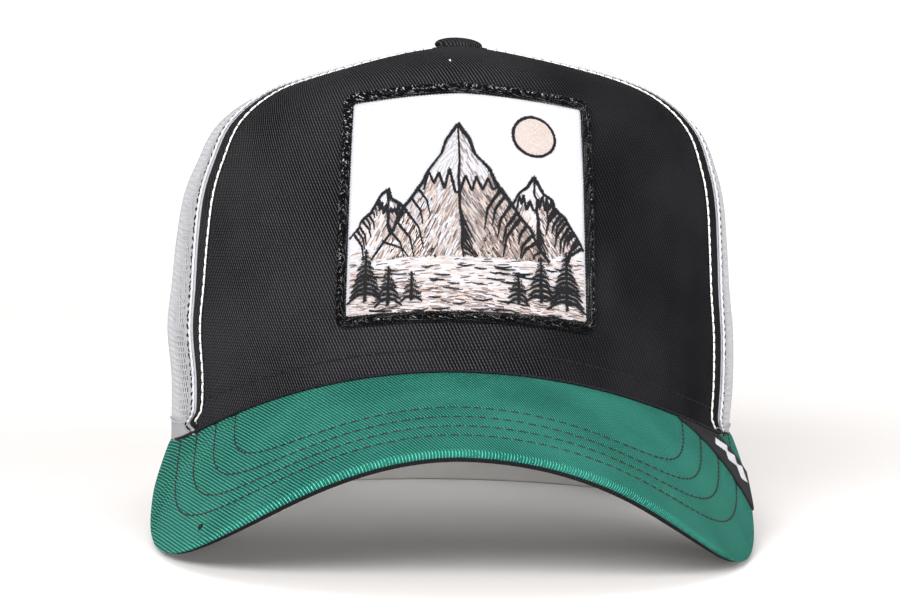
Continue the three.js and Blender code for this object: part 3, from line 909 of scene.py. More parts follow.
def make_materials():
    shades = bpy.context.scene.cap_colours
    weave = bpy.context.scene.cap_weave
    pitch = weave.twill_pitch
    MATERIALS["panel"] = twill("panel_twill", shades.panel, shades.panel_rib_highlight, PANEL_SLANT, pitch, PANEL_PAINTED_SHADE)
    MATERIALS["peak"] = twill("peak_twill", shades.peak, shades.peak_rib_highlight, PEAK_SLANT, pitch * PEAK_PITCH,
                              PEAK_PAINTED_SHADE)
    MATERIALS["under"] = twill("under_twill", (0.006, 0.006, 0.007), (0.02, 0.02, 0.021), UNDER_SLANT, pitch)
    MATERIALS["net"] = net_yarn(shades.net)
    MATERIALS["tape"] = tape_cloth("grey_tape", shades.tape)
    MATERIALS["band"] = tape_cloth("sweatband_cloth", (0.026, 0.025, 0.027), 0.7)
    MATERIALS["label"] = tape_cloth("label_tape", (0.009, 0.009, 0.011), 0.4)
    MATERIALS["border"] = wrapped_thread(shades.black_thread, weave.wrap_pitch)
    MATERIALS["field"] = satin_ground(shades.field)
    MATERIALS["plastic"] = moulded_plastic("strap_plastic", (0.5, 0.485, 0.47))
    for key, (name, shade, roughness, sheen, streak) in THREADS.items():
        MATERIALS[key] = thread(name, getattr(shades, shade), roughness, sheen, streak)


# Crown


def front_panel():
    """The one-piece front, with a dip along its topstitch and along the row over the peak's seam."""

    def surface(across, up):
        level = -HEM_SHARE + up * (TOP_LEVEL + HEM_SHARE)
        share = across - DENSE_EDGE * np.sin(2 * np.pi * across) / (2 * np.pi)
        gap = GAP / 2 / RIM_HALF_WIDTH
        left = front_seam(-1, level) + gap
        right = front_seam(1, level) - gap
        angle = left + (right - left) * share
        speed = np.linalg.norm(crown_directions(angle, level)[0], axis=-1)
        dip = np.zeros(len(angle))
        for side, edge in ((-1, angle - left), (1, right - angle)):
            dip -= FOLD_DIP * bell(edge * speed - SEAM_FOLD * fold_width(level, side), FOLD_DIP_WIDTH)
        height = crown(angle, level)[:, 2] - seam_height(angle)
        return on_crown(angle, level, dip - PANEL_ROW_DIP * bell(height - PANEL_ROW, 1.0))

    bm = bent_grid(surface, 190, 170, upright=True)
    piece = finished(bm, "front_panel_cloth", "panel", ["front_panel"])
    thicken(piece, FRONT_WALL)


def panel_hem_stitch():
    """The black row of stitches over the peak's seam."""
    angle = TURN + np.linspace(-SEAM_AT_RIM + 0.04, SEAM_AT_RIM - 0.04, 500)
    level = level_at(angle, seam_height(angle) + PANEL_ROW)
    line = crown_row(angle, level, -0.15)
    stitches("panel_hem_topstitch", [line])


def root_cord():
    """A black cord along the join of the crown and the peak: painted shade, standing for the contact shadow
    along that seam.
    """
    angle = np.linspace(-PEAK_END + 0.12, PEAK_END - 0.12, 700)
    x, y = rim(angle, 0.2)
    normal = unit(np.stack([x, y, np.full(len(x), 60.0)], -1))
    stitches("root_cord", [(on_peak(x, y, np.full(len(x), 0.25)), normal)])


def seam_strip(name, seam, inner, outer, proud, material, width=None, low=-HEM_SHARE, rows=150):
    """A raised strip along a seam, from one distance beside it to another: positive is to the right.
    Width scales those distances at each level, and low is the level where it begins."""
    width = width or (lambda level: 1)

    def surface(across, up):
        level = low + up * (TOP_LEVEL - low)
        aside = (inner + (outer - inner) * across) * width(level)
        round_over = rounded_over(across, 4)
        lift = proud * round_over - STRIP_TUCK * (1 - round_over)
        return on_crown(beside(seam(level), level, aside), level, lift)

    return finished(bent_grid(surface, 8, rows), name, material)


def seam_line(seam, aside, lift, low=-HEM_SHARE, width=None):
    level = np.linspace(low, TOP_LEVEL - 0.03, 400)
    if width:
        aside = aside * width(level)
    return crown_row(beside(seam(level), level, aside), level, lift)


def fold_width(level, side):
    """The folded edge of the front panel is narrower at its foot, mostly on the left."""
    foot, full = FOLD_SHARES[side]
    return foot + (full - foot) * smooth(level, 0.0, FOLD_FULL_LEVEL)


def pinch(level):
    """How far, in radians, the sewn seam bends outwards where it is caught in the peak's seam."""
    return PINCH * bell(level * LEVEL_HEIGHT - PINCH_HEIGHT, PINCH_WIDTH)


def front_seams():
    """The folded edges of the front panel and of the net beside it, with their stitches."""
    cream = []
    rows = {name: [] for name, *_ in NET_ROWS}
    for side, word in SIDES:

        def seam(level, side=side):
            return front_seam(side, level) + side * pinch(level)

        def width(level, side=side):
            return fold_width(level, side)

        seam_strip(f"panel_fold_{word}", seam, -side * FOLD_INNER, -side * SEAM_FOLD, FOLD_PROUD, "panel",
                   width)
        for name, near, far, proud in NET_STRIPS:
            seam_strip(f"{name}_{word}", seam, side * near, side * far, proud, "tape")
        cream.append(seam_line(seam, -side * SEAM_FOLD, TOPSTITCH_LIFT, TOPSTITCH_FROM, width))
        for name, aside, lift, low in NET_ROWS:
            rows[name].append(seam_line(seam, side * aside, lift, low))
    stitches("front_topstitch", cream, bpy.context.scene.cap_stitching.seam_stitch / MM)
    for name, lines in rows.items():
        stitches(name, lines)


def back_seams():
    """Welts over the joins of the net panels, with a row of stitches on each side."""
    arch_top = float(level_at(np.array([math.pi]), np.array([ARCH_HEIGHT + BINDING]))[0])
    welts = [("left", -BACK_SEAM, -HEM_SHARE, 150), ("right", BACK_SEAM, -HEM_SHARE, 150),
             ("middle", math.pi, arch_top, 100)]
    lines = []
    for word, angle, low, rows in welts:
        seam = fixed(angle)
        seam_strip(f"back_welt_{word}", seam, -WELT_HALF, WELT_HALF, WELT_PROUD, "tape", None, low,
                   rows)
        lines += [seam_line(seam, aside, WELT_ROW_LIFT, low) for aside in (-WELT_ROW, WELT_ROW)]
    stitches("back_topstitch", lines)


def net_cells(low_edge, high_edge, middle, low_level, high_level, outline):
    """A sheet of six-sided net between two seams, in real lengths, as one closed web of strands.
    low_edge and high_edge give the seams' angles at a level, middle the angle of the panel's centre line."""
    weave = bpy.context.scene.cap_weave
    side = weave.net_side / MM
    levels = np.linspace(low_level, high_level, 900)
    ups = lengths_along(crown(middle, levels))
    reach = 0.0
    for share in (0.0, 0.3, 0.6):
        level = low_level + share * (high_level - low_level)
        turn = (high_edge(level) - low_edge(level)) / 2
        speed = np.linalg.norm(crown_directions(np.array([middle]), np.array([level]))[0])
        reach = max(reach, turn * speed * 1.15)
    half = side * math.sqrt(3) / 2
    columns = 2 * int(reach / half / 2) * 2
    rows = int(ups[-1] / (1.5 * side))
    bm = bmesh.new()
    bmesh.ops.create_grid(bm, x_segments=columns, y_segments=rows, size=0.5)
    place_of = {}
    for vert in bm.verts:
        place_of[vert] = (round((vert.co.x + 0.5) * columns), round((vert.co.y + 0.5) * rows))
    upright = []
    for edge in bm.edges:
        (i, j), (k, m) = (place_of[vert] for vert in edge.verts)
        if i == k and (i + min(j, m)) % 2 and not edge.is_boundary:
            upright.append(edge)
    bmesh.ops.dissolve_edges(bm, edges=upright, use_verts=False)
    cells = np.array([place_of[vert] for vert in bm.verts])
    parity = np.where(cells.sum(1) % 2 == 0, 1, -1)
    aside = (cells[:, 0] - columns / 2) * half
    up = np.clip(cells[:, 1] * 1.5 * side + parity * side / 4, 0, ups[-1])
    level = np.interp(up, ups, levels)
    centre = np.full(len(aside), middle)
    angle = beside(centre, level, aside)
    inside = (angle >= low_edge(level)) & (angle <= high_edge(level)) & outline(angle, level)
    keep = {vert: bool(ok) for vert, ok in zip(bm.verts, inside)}
    angle = np.clip(angle, low_edge(level), high_edge(level))
    for vert, point in zip(bm.verts, place(on_crown(angle, level, NET_LIFT))):
        vert.co = point
    outside = [face for face in bm.faces if sum(keep[vert] for vert in face.verts) < 3]
    bmesh.ops.delete(bm, geom=outside, context="FACES")
    bmesh.ops.wireframe(bm, faces=bm.faces[:], thickness=weave.net_strand, offset=0.0, use_replace=True,
                        use_boundary=True, use_even_offset=True)
    bmesh.ops.recalc_face_normals(bm, faces=bm.faces[:])
    return bm


def everywhere(angle, level):
    return np.full(np.shape(angle), True)


def outside_arch(angle, level):
    from_back = (math.pi - np.abs(angle)) * RIM_HALF_WIDTH / (ARCH_HALF_WIDTH + BINDING / 2)
    top = (ARCH_HEIGHT + BINDING / 2) * np.sqrt(np.clip(1 - from_back**2, 0, 1))
    return crown(angle, level)[..., 2] > np.where(from_back < 1, top, -10)


def net_panels():
    """The four open panels of net."""
    side_middle = (BACK_SEAM + SEAM_AT_RIM + SEAM_SPREAD / 2) / 2
    back_middle = (math.pi + BACK_SEAM) / 2
    panels = [
        ("side_left", fixed(-BACK_SEAM), lambda level: front_seam(-1, level), -side_middle, everywhere),
        ("side_right", lambda level: front_seam(1, level), fixed(BACK_SEAM), side_middle, everywhere),
        ("back_left", fixed(-math.pi), fixed(-BACK_SEAM), -back_middle, outside_arch),
        ("back_right", fixed(BACK_SEAM), fixed(math.pi), back_middle, outside_arch),
    ]
    for word, low_edge, high_edge, middle, outline in panels:
        bm = net_cells(low_edge, high_edge, middle, -HEM_SHARE, TOP_LEVEL, outline)
        finished(bm, f"net_{word}", "net", [f"mesh_{word}"])


def net_hem():
    """The doubled lower edge of the net, and its row of stitches."""
    lines = []
    end = math.pi - (ARCH_HALF_WIDTH + BINDING * 0.6) / RIM_HALF_WIDTH
    for side, word in SIDES:

        def surface(across, up, side=side):
            share = across if side > 0 else 1 - across
            angle = side * (HEM_FROM + (end - HEM_FROM) * share)
            drop = HEM_DROP * bell(np.abs(angle) - HEM_DROP_AT, HEM_DROP_WIDTH) * (1 - up)
            height = seam_height(angle) - HEM_DEPTH + HEM_HEIGHT * up
            point = on_crown(angle, level_at(angle, height), HEM_FOLD * rounded_over(up, 6) - HEM_FOLD)
            point[..., 2] -= drop
            return point

        hem = finished(bent_grid(surface, 130, 8), f"net_hem_{word}", "tape")
        thicken(hem, HEM_WALL)
        angle = side * np.linspace(HEM_FROM, end, 300)
        level = level_at(angle, seam_height(angle) - HEM_DEPTH + HEM_ROW)
        lines.append(crown_row(angle, level, 0.15))
    stitches("hem_topstitch", lines)


def opening_binding():
    """Tape folded round the edge of the half-moon opening, with two rows of stitches."""

    def track(share, margin):
        turn = share * math.pi
        angle = math.pi - (ARCH_HALF_WIDTH + margin) / RIM_HALF_WIDTH * np.cos(turn)
        return angle, level_at(angle, (ARCH_HEIGHT + margin) * np.sin(turn))

    def surface(across, up):
        turn = up * 2 * math.pi
        middle = BINDING / 2
        angle, level = track(across, middle - (middle + 0.2) * np.cos(turn))
        depth = BINDING_WALL / 2 + 0.15
        return on_crown(angle, level, BINDING_PROUD - BINDING_WALL / 2 + depth * flattened_sine(turn, 0.45))

    bm = closed_tube(surface, 130, 24)
    finished(bm, "opening_binding_tape", "tape", ["opening_binding"])
    lines = []
    for margin in (1.4, BINDING - 1.4):
        angle, level = track(np.linspace(0.01, 0.99, 300), margin)
        lines.append(crown_row(angle, level, BINDING_PROUD + 0.1))
    stitches("binding_topstitch", lines)


def panel_depth(angle):
    ease = smooth(np.abs(angle) - SEAM_AT_RIM, *BAND_STEP)
    return FRONT_WALL + (NET_WALL - FRONT_WALL) * ease + BAND_CLEAR


def sweatband():
    """Cotton tape inside the rim, with a rolled lower edge and rows of stitches."""

    def surface(across, up):
        angle = -BAND_END + 2 * BAND_END * across
        turn = up * 2 * math.pi
        height = seam_height(angle) - HEM_DEPTH + BAND_BASE + BAND_HEIGHT * (0.5 - 0.5 * np.cos(turn))
        lift = -panel_depth(angle) - 0.75 - 0.7 * flattened_sine(turn, 0.4)
        return on_crown(angle, level_at(angle, height), lift)

    bm = closed_tube(surface, 240, 40)
    finished(bm, "sweatband_tape", "band", ["sweatband"])
    lines = []
    for height in (2.5, BAND_HEIGHT - 2.5):
        angle = np.linspace(-BAND_END + 0.02, BAND_END - 0.02, 600)
        level = level_at(angle, seam_height(angle) - HEM_DEPTH + BAND_BASE + height)
        points, normal = crown_row(angle, level, -panel_depth(angle) - 1.45)
        lines.append((points, -normal))
    stitches("sweatband_topstitch", lines)


def strap_row(across, height, lift):
    """Points of the strap's outer face, at shares from its left end and at heights, and their normals."""
    angle = STRAP_END + 2 * (math.pi - STRAP_END) * across
    level = level_at(angle, seam_height(angle) - HEM_DEPTH + height)
    return crown_row(angle, level, lift - (BINDING_WALL - BINDING_PROUD + STRAP_CLEAR))


def strap_studs():
    """A row of stud heads along the strap."""
    ball = bmesh.new()
    bmesh.ops.create_uvsphere(ball, u_segments=16, v_segments=8, radius=1.0)
    verts = np.array([vert.co[:] for vert in ball.verts]) * STUD_SIZE
    faces = [[vert.index for vert in face.verts] for face in ball.faces]
    ball.free()
    across = np.linspace(0.2, 0.8, STUDS)
    lift = np.where(across > STRAP_LAP_AT, 0.0, -STRAP_LAP)
    centres, normals = strap_row(across, np.full(STUDS, STRAP_HEIGHT / 2), lift)
    return repeated((verts, faces), centres, unit(np.gradient(centres, axis=0)), normals)


def snap_strap():
    """A plain band with round edges, a lap at its middle and a row of stud heads."""

    def surface(across, up):
        turn = up * 2 * math.pi
        flat = flattened_sine(turn, 0.35)
        outer = flat > 0
        lap = STRAP_LAP * smooth(across, STRAP_LAP_AT - 0.005, STRAP_LAP_AT + 0.005) * outer
        lift = -STRAP_WALL / 2 + (STRAP_WALL / 2) * flat - STRAP_LAP * outer + lap
        return strap_row(across, STRAP_HEIGHT * (0.5 - 0.5 * np.cos(turn)), lift)[0]

    bm = closed_tube(surface, 160, 24)
    heads = strap_studs()
    mesh = bpy.data.meshes.new("heads")
    heads.to_mesh(mesh)
    heads.free()
    bm.from_mesh(mesh)
    bpy.data.meshes.remove(mesh)
    finished(bm, "snap_strap_band", "plastic", ["snap_strap"])


def button():
    """A cloth-covered button: a spun section, with the cloth gathered under its edge."""
    bm = bmesh.new()
    layer = bm.loops.layers.uv.new("Cloth")
    radius = BUTTON_RADIUS + BUTTON_PUFF
    section = [(0, BUTTON_HEIGHT)]
    for share in np.linspace(0.12, 1, 10):
        turn = share * math.pi / 2
        section.append((radius * math.sin(turn), -0.1 + (BUTTON_HEIGHT + 0.1) * math.cos(turn) ** 0.9))
    section += [(radius - inset, height) for inset, height in BUTTON_TURN]
    section.append((0, BUTTON_TURN[-1][1]))
    verts = [bm.verts.new((x, 0, z)) for x, z in section]
    edges = [bm.edges.new(pair) for pair in zip(verts, verts[1:])]
    bmesh.ops.spin(bm, geom=verts + edges, cent=(0, 0, 0), axis=(0, 0, 1), angle=2 * math.pi, steps=48,
                   use_merge=True)
    bmesh.ops.remove_doubles(bm, verts=bm.verts[:], dist=1e-4)
    bmesh.ops.recalc_face_normals(bm, faces=bm.faces[:])
    for face in bm.faces:
        for loop in face.loops:
            loop[layer].uv = (loop.vert.co.x * MM, loop.vert.co.y * MM)
    tilted = Matrix.Rotation(BUTTON_TILT, 3, "Y")
    for vert in bm.verts:
        vert.co = place(np.array(tilted @ vert.co) + (AXIS_X + BUTTON_ASIDE, AXIS_Y, CROWN_TOP + BUTTON_SEAT))
    finished(bm, "button_cloth", "panel", ["button"])


# Peak


def peak_outline(share):
    """Plan of the front edge at shares from its left end to its right end: a squared ellipse with a tail."""
    reach = PEAK_WIDEST_Y - RIM_FRONT + PEAK_LENGTH
    turn = np.linspace(-1, 1, 1201) * (1 + PEAK_TAIL)
    quarter = np.minimum(np.abs(turn), 1) * math.pi / 2
    power = 2 / PEAK_SQUARENESS
    x = PEAK_HALF_WIDTH * np.sin(quarter) ** power
    y = PEAK_WIDEST_Y - reach * np.maximum(np.cos(quarter), 0) ** power
    end_x, end_y = rim(np.array(PEAK_END), PEAK_END_WIDTH)
    tail = np.clip((np.abs(turn) - 1) / PEAK_TAIL, 0, 1)
    x = x + (end_x - PEAK_HALF_WIDTH) * tail**2
    y = y + (end_y - PEAK_WIDEST_Y) * tail
    return at_shares(np.stack([np.sign(turn) * x, y], -1), share)


def peak_root(share):
    """Plan of the line along the crown, from its left end to its right end."""
    return at_shares(np.stack(rim(np.linspace(-PEAK_END, PEAK_END, 801), GAP), -1), share)


def row_distance(x, y, row):
    """Distance in mm from a row of peak stitches, roughly: below 0 inside it."""
    side = (x > 0).astype(int)
    half = np.take(row["half"], side)
    centre = np.take(row["centre"], side)
    power = np.take(row["power"], side)
    reach = centre - row["tip"]
    u = np.abs(x) / half
    v = np.maximum(centre - y, 0) / reach
    r = (u**power + v**power) ** (1 / power)
    return (r - 1) * np.where(y > centre, half, np.hypot(x, y - centre))


def row_plan(row, count=500):
    """Plan of one row, from the crown on the left, round the front and back to the crown on the right."""
    points = []
    for side, sign in ((0, -1), (1, 1)):
        half = row["half"][side]
        centre = row["centre"][side]
        power = 2 / row["power"][side]
        turn = np.linspace(0, math.pi / 2, count)
        x = half * np.sin(turn) ** power
        y = centre - (centre - row["tip"]) * np.cos(turn) ** power
        back = RIM_CENTRE_Y - RIM_HALF_LENGTH * math.sqrt(max(1 - (half / RIM_HALF_WIDTH) ** 2, 0)) - 0.8
        x = np.append(x, half)
        y = np.append(y, max(back, centre))
        part = np.stack([sign * x, y], -1)
        points.append(part[::-1] if side == 0 else part[1:])
    return np.concatenate(points)


def cloth_of_peak(x, y):
    """Lengths along the peak's cloth: across from its middle, and towards the crown."""
    steps = 16
    across = np.zeros(np.shape(x))
    for n in range(steps):
        there = x * (n + 0.5) / steps
        slope = (peak_height(there + 0.01, y) - peak_height(there - 0.01, y)) / 0.02
        across = across + np.sqrt(1 + slope**2) * x / steps
    return across, y * math.hypot(1, PEAK_SLOPE)


def peak_layer(rounding, relief):
    """Functions of a cover's surface and of its Cloth map. Rounding gives the inset and depth of the turned
    edge along its section."""

    def plan(across, up):
        edge = np.stack(peak_outline(across), -1)
        root = np.stack(peak_root(across), -1)
        inset, depth = rounding(np.minimum(up / PEAK_ROLL, 1))
        width = np.maximum(np.linalg.norm(root - edge, axis=-1), 0.5)
        turned = inset * np.minimum(width / 6, 1) / width
        share = turned + (1 - turned) * np.maximum(up - PEAK_ROLL, 0) / (1 - PEAK_ROLL)
        point = edge + (root - edge) * share[..., None]
        ends = smooth(np.minimum(across, 1 - across), 0, PEAK_END_SHARE)
        high = smooth(peak_height(edge[..., 0], edge[..., 1]), *PEAK_HIGH)
        thin = PEAK_END_THIN + (1 - PEAK_END_THIN) * ends + PEAK_HIGH_MORE * high
        return point[..., 0], point[..., 1], depth * thin

    def surface(across, up):
        x, y, depth = plan(across, up)
        return on_peak(x, y, -depth + relief(x, y))

    def cloth(across, up):
        x, y, _ = plan(across, up)
        return cloth_of_peak(x, y)

    return surface, cloth


def stitched_relief(x, y):
    """Cloth pulled down along each row of stitches."""
    return -ROW_DIP * sum(bell(row_distance(x, y, row), ROW_DIP_WIDTH) for row in PEAK_ROWS)


def peak_line(row, lift, facing):
    """The line of a row of stitches, on the cover that faces up or down."""
    x, y = at_shares(row_plan(row), np.linspace(0, 1, 600))
    return on_peak(x, y, np.full(len(x), lift)), facing * peak_normal(x, y)


def peak():
    """Green top cover and black under cover, with their turned edges and four rows of stitches."""

    def top_edge(turn):
        side = np.clip(turn * 2, 0, 1)
        corner = np.clip(turn * 2 - 1, 0, 1) * math.pi / 2
        inset = PEAK_TUCK * (1 - side) ** 2 + PEAK_CORNER * (1 - np.cos(corner))
        return inset, PEAK_EDGE - (PEAK_EDGE - PEAK_CORNER) * side - PEAK_CORNER * np.sin(corner)

    def under_edge(turn):
        corner = turn * math.pi / 2
        start = PEAK_EDGE - 0.3
        full = PEAK_TOP + PEAK_UNDER + 0.1
        return PEAK_TUCK + 0.5 * (1 - np.cos(corner)), start + (full - start) * np.sin(corner)

    surface, cloth = peak_layer(top_edge, stitched_relief)
    piece = finished(bent_grid(surface, 300, 100, cloth), "peak_cover", "peak", ["peak_top"])
    thicken(piece, PEAK_CLOTH)
    surface, cloth = peak_layer(under_edge, lambda x, y: -stitched_relief(x, y))
    bm = bent_grid(surface, 240, 80, cloth)
    bmesh.ops.reverse_faces(bm, faces=bm.faces[:])
    piece = finished(bm, "peak_under_cover", "under", ["peak_under"])
    thicken(piece, PEAK_CLOTH)
    stitch = bpy.context.scene.cap_stitching.peak_stitch / MM
    above = [peak_line(row, -0.22, 1) for row in PEAK_ROWS]
    below = [peak_line(row, -PEAK_TOP - PEAK_UNDER - 0.05, -1) for row in PEAK_ROWS]
    stitches("peak_topstitch", above, stitch)
    stitches("peak_under_stitch", below, stitch)


# Label


def on_label(across, up, lift):
    """Points of the side label: across from its front edge to its back edge, up from the peak's edge."""
    root_x, root_y = rim(LABEL_ROOT[0] + (LABEL_ROOT[1] - LABEL_ROOT[0]) * across, 1)
    front, back = np.array(LABEL_EDGE[0]), np.array(LABEL_EDGE[1])
    edge = front + (back - front) * across[..., None]
    x = edge[..., 0] + (root_x - edge[..., 0]) * up
    y = edge[..., 1] + (root_y - edge[..., 1]) * up
    return on_peak(x, y, lift)


def side_label():
    """A strip of black tape over the right side of the peak, with a plain mark of three white lozenges."""

    def surface(across, up):
        return on_label(across, up, LABEL_LIFT - 0.25 * bell(np.minimum(across, 1 - across), 0.04))

    piece = finished(bent_grid(surface, 24, 60), "side_label_tape", "label", ["peak_label"])
    thicken(piece, LABEL_WALL)
    middle, spread = LOZENGE_ACROSS
    starts, ends = [], []
    for centre in LOZENGES:
        for k in range(LOZENGE_STROKES):
            offset = (k + 0.5) / LOZENGE_STROKES * 2 - 1
            half = LOZENGE_HALF * (1 - abs(offset)) + 0.01
            across = np.array([middle + spread * offset])
            for tips, up in ((starts, centre - half), (ends, centre + half)):
                tips.append(on_label(across, np.array([up]), np.array([LABEL_LIFT + 0.1]))[0])
    starts, ends = np.array(starts), np.array(ends)
    centres = (starts + ends) / 2
    reach = np.linalg.norm(ends - starts, axis=-1)
    sizes = np.stack([reach, np.full(len(reach), 0.6), np.full(len(reach), 0.3)], -1)
    normals = peak_normal(centres[:, 0], centres[:, 1])
    bm = repeated(capsule(1.3, 1.0, 0.0), centres, unit(ends - starts), normals, sizes)
    finished(bm, "side_label_mark", "white_thread")


# Patch


def rounded_rectangle(width, height, radius, share):
    """Points round a rectangle with round corners, at shares of the way round."""
    turn = math.pi / 2
    sides = [height - 2 * radius, width - 2 * radius] * 2
    run = np.cumsum([0] + [length for straight in sides for length in (straight, turn * radius)])
    travelled = np.asarray(share) % 1 * run[-1]
    x = np.zeros(np.shape(travelled))
    y = np.zeros(np.shape(travelled))
    directions = [(0, 1), (-1, 0), (0, -1), (1, 0)]
    corners = [(1, 1), (-1, 1), (-1, -1), (1, -1)]
    for k in range(8):
        n = k // 2
        here = (travelled >= run[k]) & (travelled < run[k + 1])
        beyond = travelled[here] - run[k]
        centre_x, centre_y = corners[n][0] * (width / 2 - radius), corners[n][1] * (height / 2 - radius)
        if k % 2:
            angle = turn * n + beyond / radius
            x[here] = centre_x + radius * np.cos(angle)
            y[here] = centre_y + radius * np.sin(angle)
        else:
            back = sides[n] - beyond
            x[here] = centre_x + radius * math.cos(turn * n) - directions[n][0] * back
            y[here] = centre_y + radius * math.sin(turn * n) - directions[n][1] * back
    return x, y


def patch_border():
    """A round border wrapped with thread, wrap by wrap."""
    perimeter = 2 * (PATCH_WIDTH + PATCH_HEIGHT) - 8 * PATCH_OUTER_RADIUS + 2 * math.pi * PATCH_OUTER_RADIUS
    wraps = round(perimeter / (bpy.context.scene.cap_weave.wrap_pitch / MM))
    inner = (PATCH_WIDTH - 2 * PATCH_BORDER, PATCH_HEIGHT - 2 * PATCH_BORDER, PATCH_INNER_RADIUS)

    def surface(across, up):
        turn = up * math.pi
        outer_x, outer_y = rounded_rectangle(PATCH_WIDTH, PATCH_HEIGHT, PATCH_OUTER_RADIUS, across)
        inner_x, inner_y = rounded_rectangle(*inner, across)
        share = 0.5 - 0.5 * np.cos(turn)
        wander = WRAP_WANDER * np.sin(across * 2 * math.pi * WRAP_WAVES)
        phase = across * wraps + WRAP_LEAN * share + wander
        wrap = np.abs(np.sin(math.pi * phase)) ** 0.7
        bulge = 1 - WRAP_GROOVE * (1 - wrap)
        share = 0.5 + (share - 0.5) * (0.93 + 0.1 * wrap)
        x = outer_x + (inner_x - outer_x) * share
        y = outer_y + (inner_y - outer_y) * share
        rise = BORDER_THICK + GAP - BORDER_FOOT
        return on_front(x, y, BORDER_FOOT + rise * np.sin(turn) ** 0.7 * bulge)

    bm = bent_grid(surface, wraps * 8, 12)
    bmesh.ops.remove_doubles(bm, verts=bm.verts[:], dist=1e-6)
    bmesh.ops.recalc_face_normals(bm, faces=bm.faces[:])
    finished(bm, "patch_border_thread", "border", ["patch_border"])


def patch_field():
    """The patch's flat ground, tucked under its border."""
    half_width = PATCH_WIDTH / 2 - PATCH_BORDER + FIELD_TUCK
    half_height = PATCH_HEIGHT / 2 - PATCH_BORDER + FIELD_TUCK

    def cloth(across, up):
        return (2 * across - 1) * half_width, (2 * up - 1) * half_height

    def surface(across, up):
        return on_front(*cloth(across, up), np.full(np.shape(up), FIELD_LIFT - 0.05))

    bm = bent_grid(surface, 60, 60, cloth)
    thicken(finished(bm, "patch_ground", "field", ["patch_field"]), FIELD_WALL)


class Embroidery:
    """Collects strokes of thread by material, and makes one piece of each."""

    def __init__(self, seed):
        self.random = np.random.default_rng(seed)
        self.strokes = {}
        self.base = 0.0

    def stroke(self, material, start, end, width=0.5, lift=0.0):
        self.strokes.setdefault(material, []).append((*start, *end, width, lift + self.base))

    def jitter(self, amount, size=None):
        return self.random.uniform(-amount, amount, size)

    def satin(self, material, points, widths, pitch=0.34, slant=0.5, lift=0.0, ragged=0.3):
        """A line of close short stitches across a path, with uneven ends. Its width changes along it."""
        points = np.asarray(points, float)
        run = lengths_along(points)
        count = max(int(run[-1] / pitch), 2)
        at = np.linspace(0, run[-1], count)
        x, y = (np.interp(at, run, points[:, k]) for k in range(2))
        half = np.interp(at / run[-1], np.linspace(0, 1, len(widths)), widths) / 2
        direction = np.stack([np.gradient(x), np.gradient(y)], -1)
        direction /= np.maximum(np.linalg.norm(direction, axis=-1, keepdims=True), 1e-6)
        c, s = math.cos(slant), math.sin(slant)
        for k in range(count):
            dx, dy = direction[k]
            nx, ny = -dy * c - dx * s, dx * c - dy * s
            left, right = (half[k] * (1 + self.jitter(ragged)) + 0.12 for _ in range(2))
            start = (x[k] - nx * left, y[k] - ny * left)
            end = (x[k] + nx * right, y[k] + ny * right)
            self.stroke(material, start, end, 0.4, lift)

    def fill(self, materials, polygon, angle, pitch=0.42, stitch=(1.2, 3.4), cover=1.0, lift=0.0):
        """Rows of short stitches inside a polygon, at an angle, in mixed threads."""
        polygon = np.asarray(polygon, float)
        c, s = math.cos(angle), math.sin(angle)
        turned = polygon @ np.array([[c, -s], [s, c]])
        for row in np.arange(turned[:, 1].min() + pitch / 2, turned[:, 1].max(), pitch):
            crossings = []
            for (x0, y0), (x1, y1) in zip(turned, np.roll(turned, -1, axis=0)):
                if (y0 > row) != (y1 > row):
                    crossings.append(x0 + (row - y0) / (y1 - y0) * (x1 - x0))
            crossings.sort()
            for left, right in zip(crossings[::2], crossings[1::2]):
                here = left + self.random.uniform(0, 0.6)
                while here < right - 0.4:
                    there = min(here + self.random.uniform(*stitch), right + self.jitter(0.35))
                    if self.random.random() < cover:
                        level = row + self.jitter(0.15)
                        ends = np.array([[here, level], [there, level + self.jitter(0.3)]])
                        start, end = ends @ np.array([[c, s], [-s, c]])
                        self.stroke(self.random.choice(materials), start, end, 0.44, lift + self.jitter(0.08))
                    here = there + 0.1

    def finish(self):
        template = capsule(1.06, 0.5, 0.0, 5, 4)
        for material, rows in self.strokes.items():
            x0, y0, x1, y1, width, lift = np.array(rows).T
            starts = on_front(x0, y0, FIELD_LIFT + lift)
            ends = on_front(x1, y1, FIELD_LIFT + lift)
            centres = (starts + ends) / 2
            normals = unit(centres - on_front((x0 + x1) / 2, (y0 + y1) / 2, FIELD_LIFT + lift - 1.0))
            span = ends - starts
            reach = np.linalg.norm(span, axis=-1)
            sizes = np.stack([reach, width * 2, np.full(len(reach), 0.8)], -1)
            bm = repeated(template, centres, unit(span), normals, sizes)
            finished(bm, f"patch_stitches_{material}", material)


def mix_points(first, second, share):
    return (first[0] + (second[0] - first[0]) * share, first[1] + (second[1] - first[1]) * share)


def ridge(sewn, start, end, bends=6, sway=0.5):
    """A slightly uneven line between two places."""
    between = [mix_points(start, end, k / bends) for k in range(1, bends)]
    return [start] + [(x + sewn.jitter(sway), y + sewn.jitter(sway)) for x, y in between] + [end]


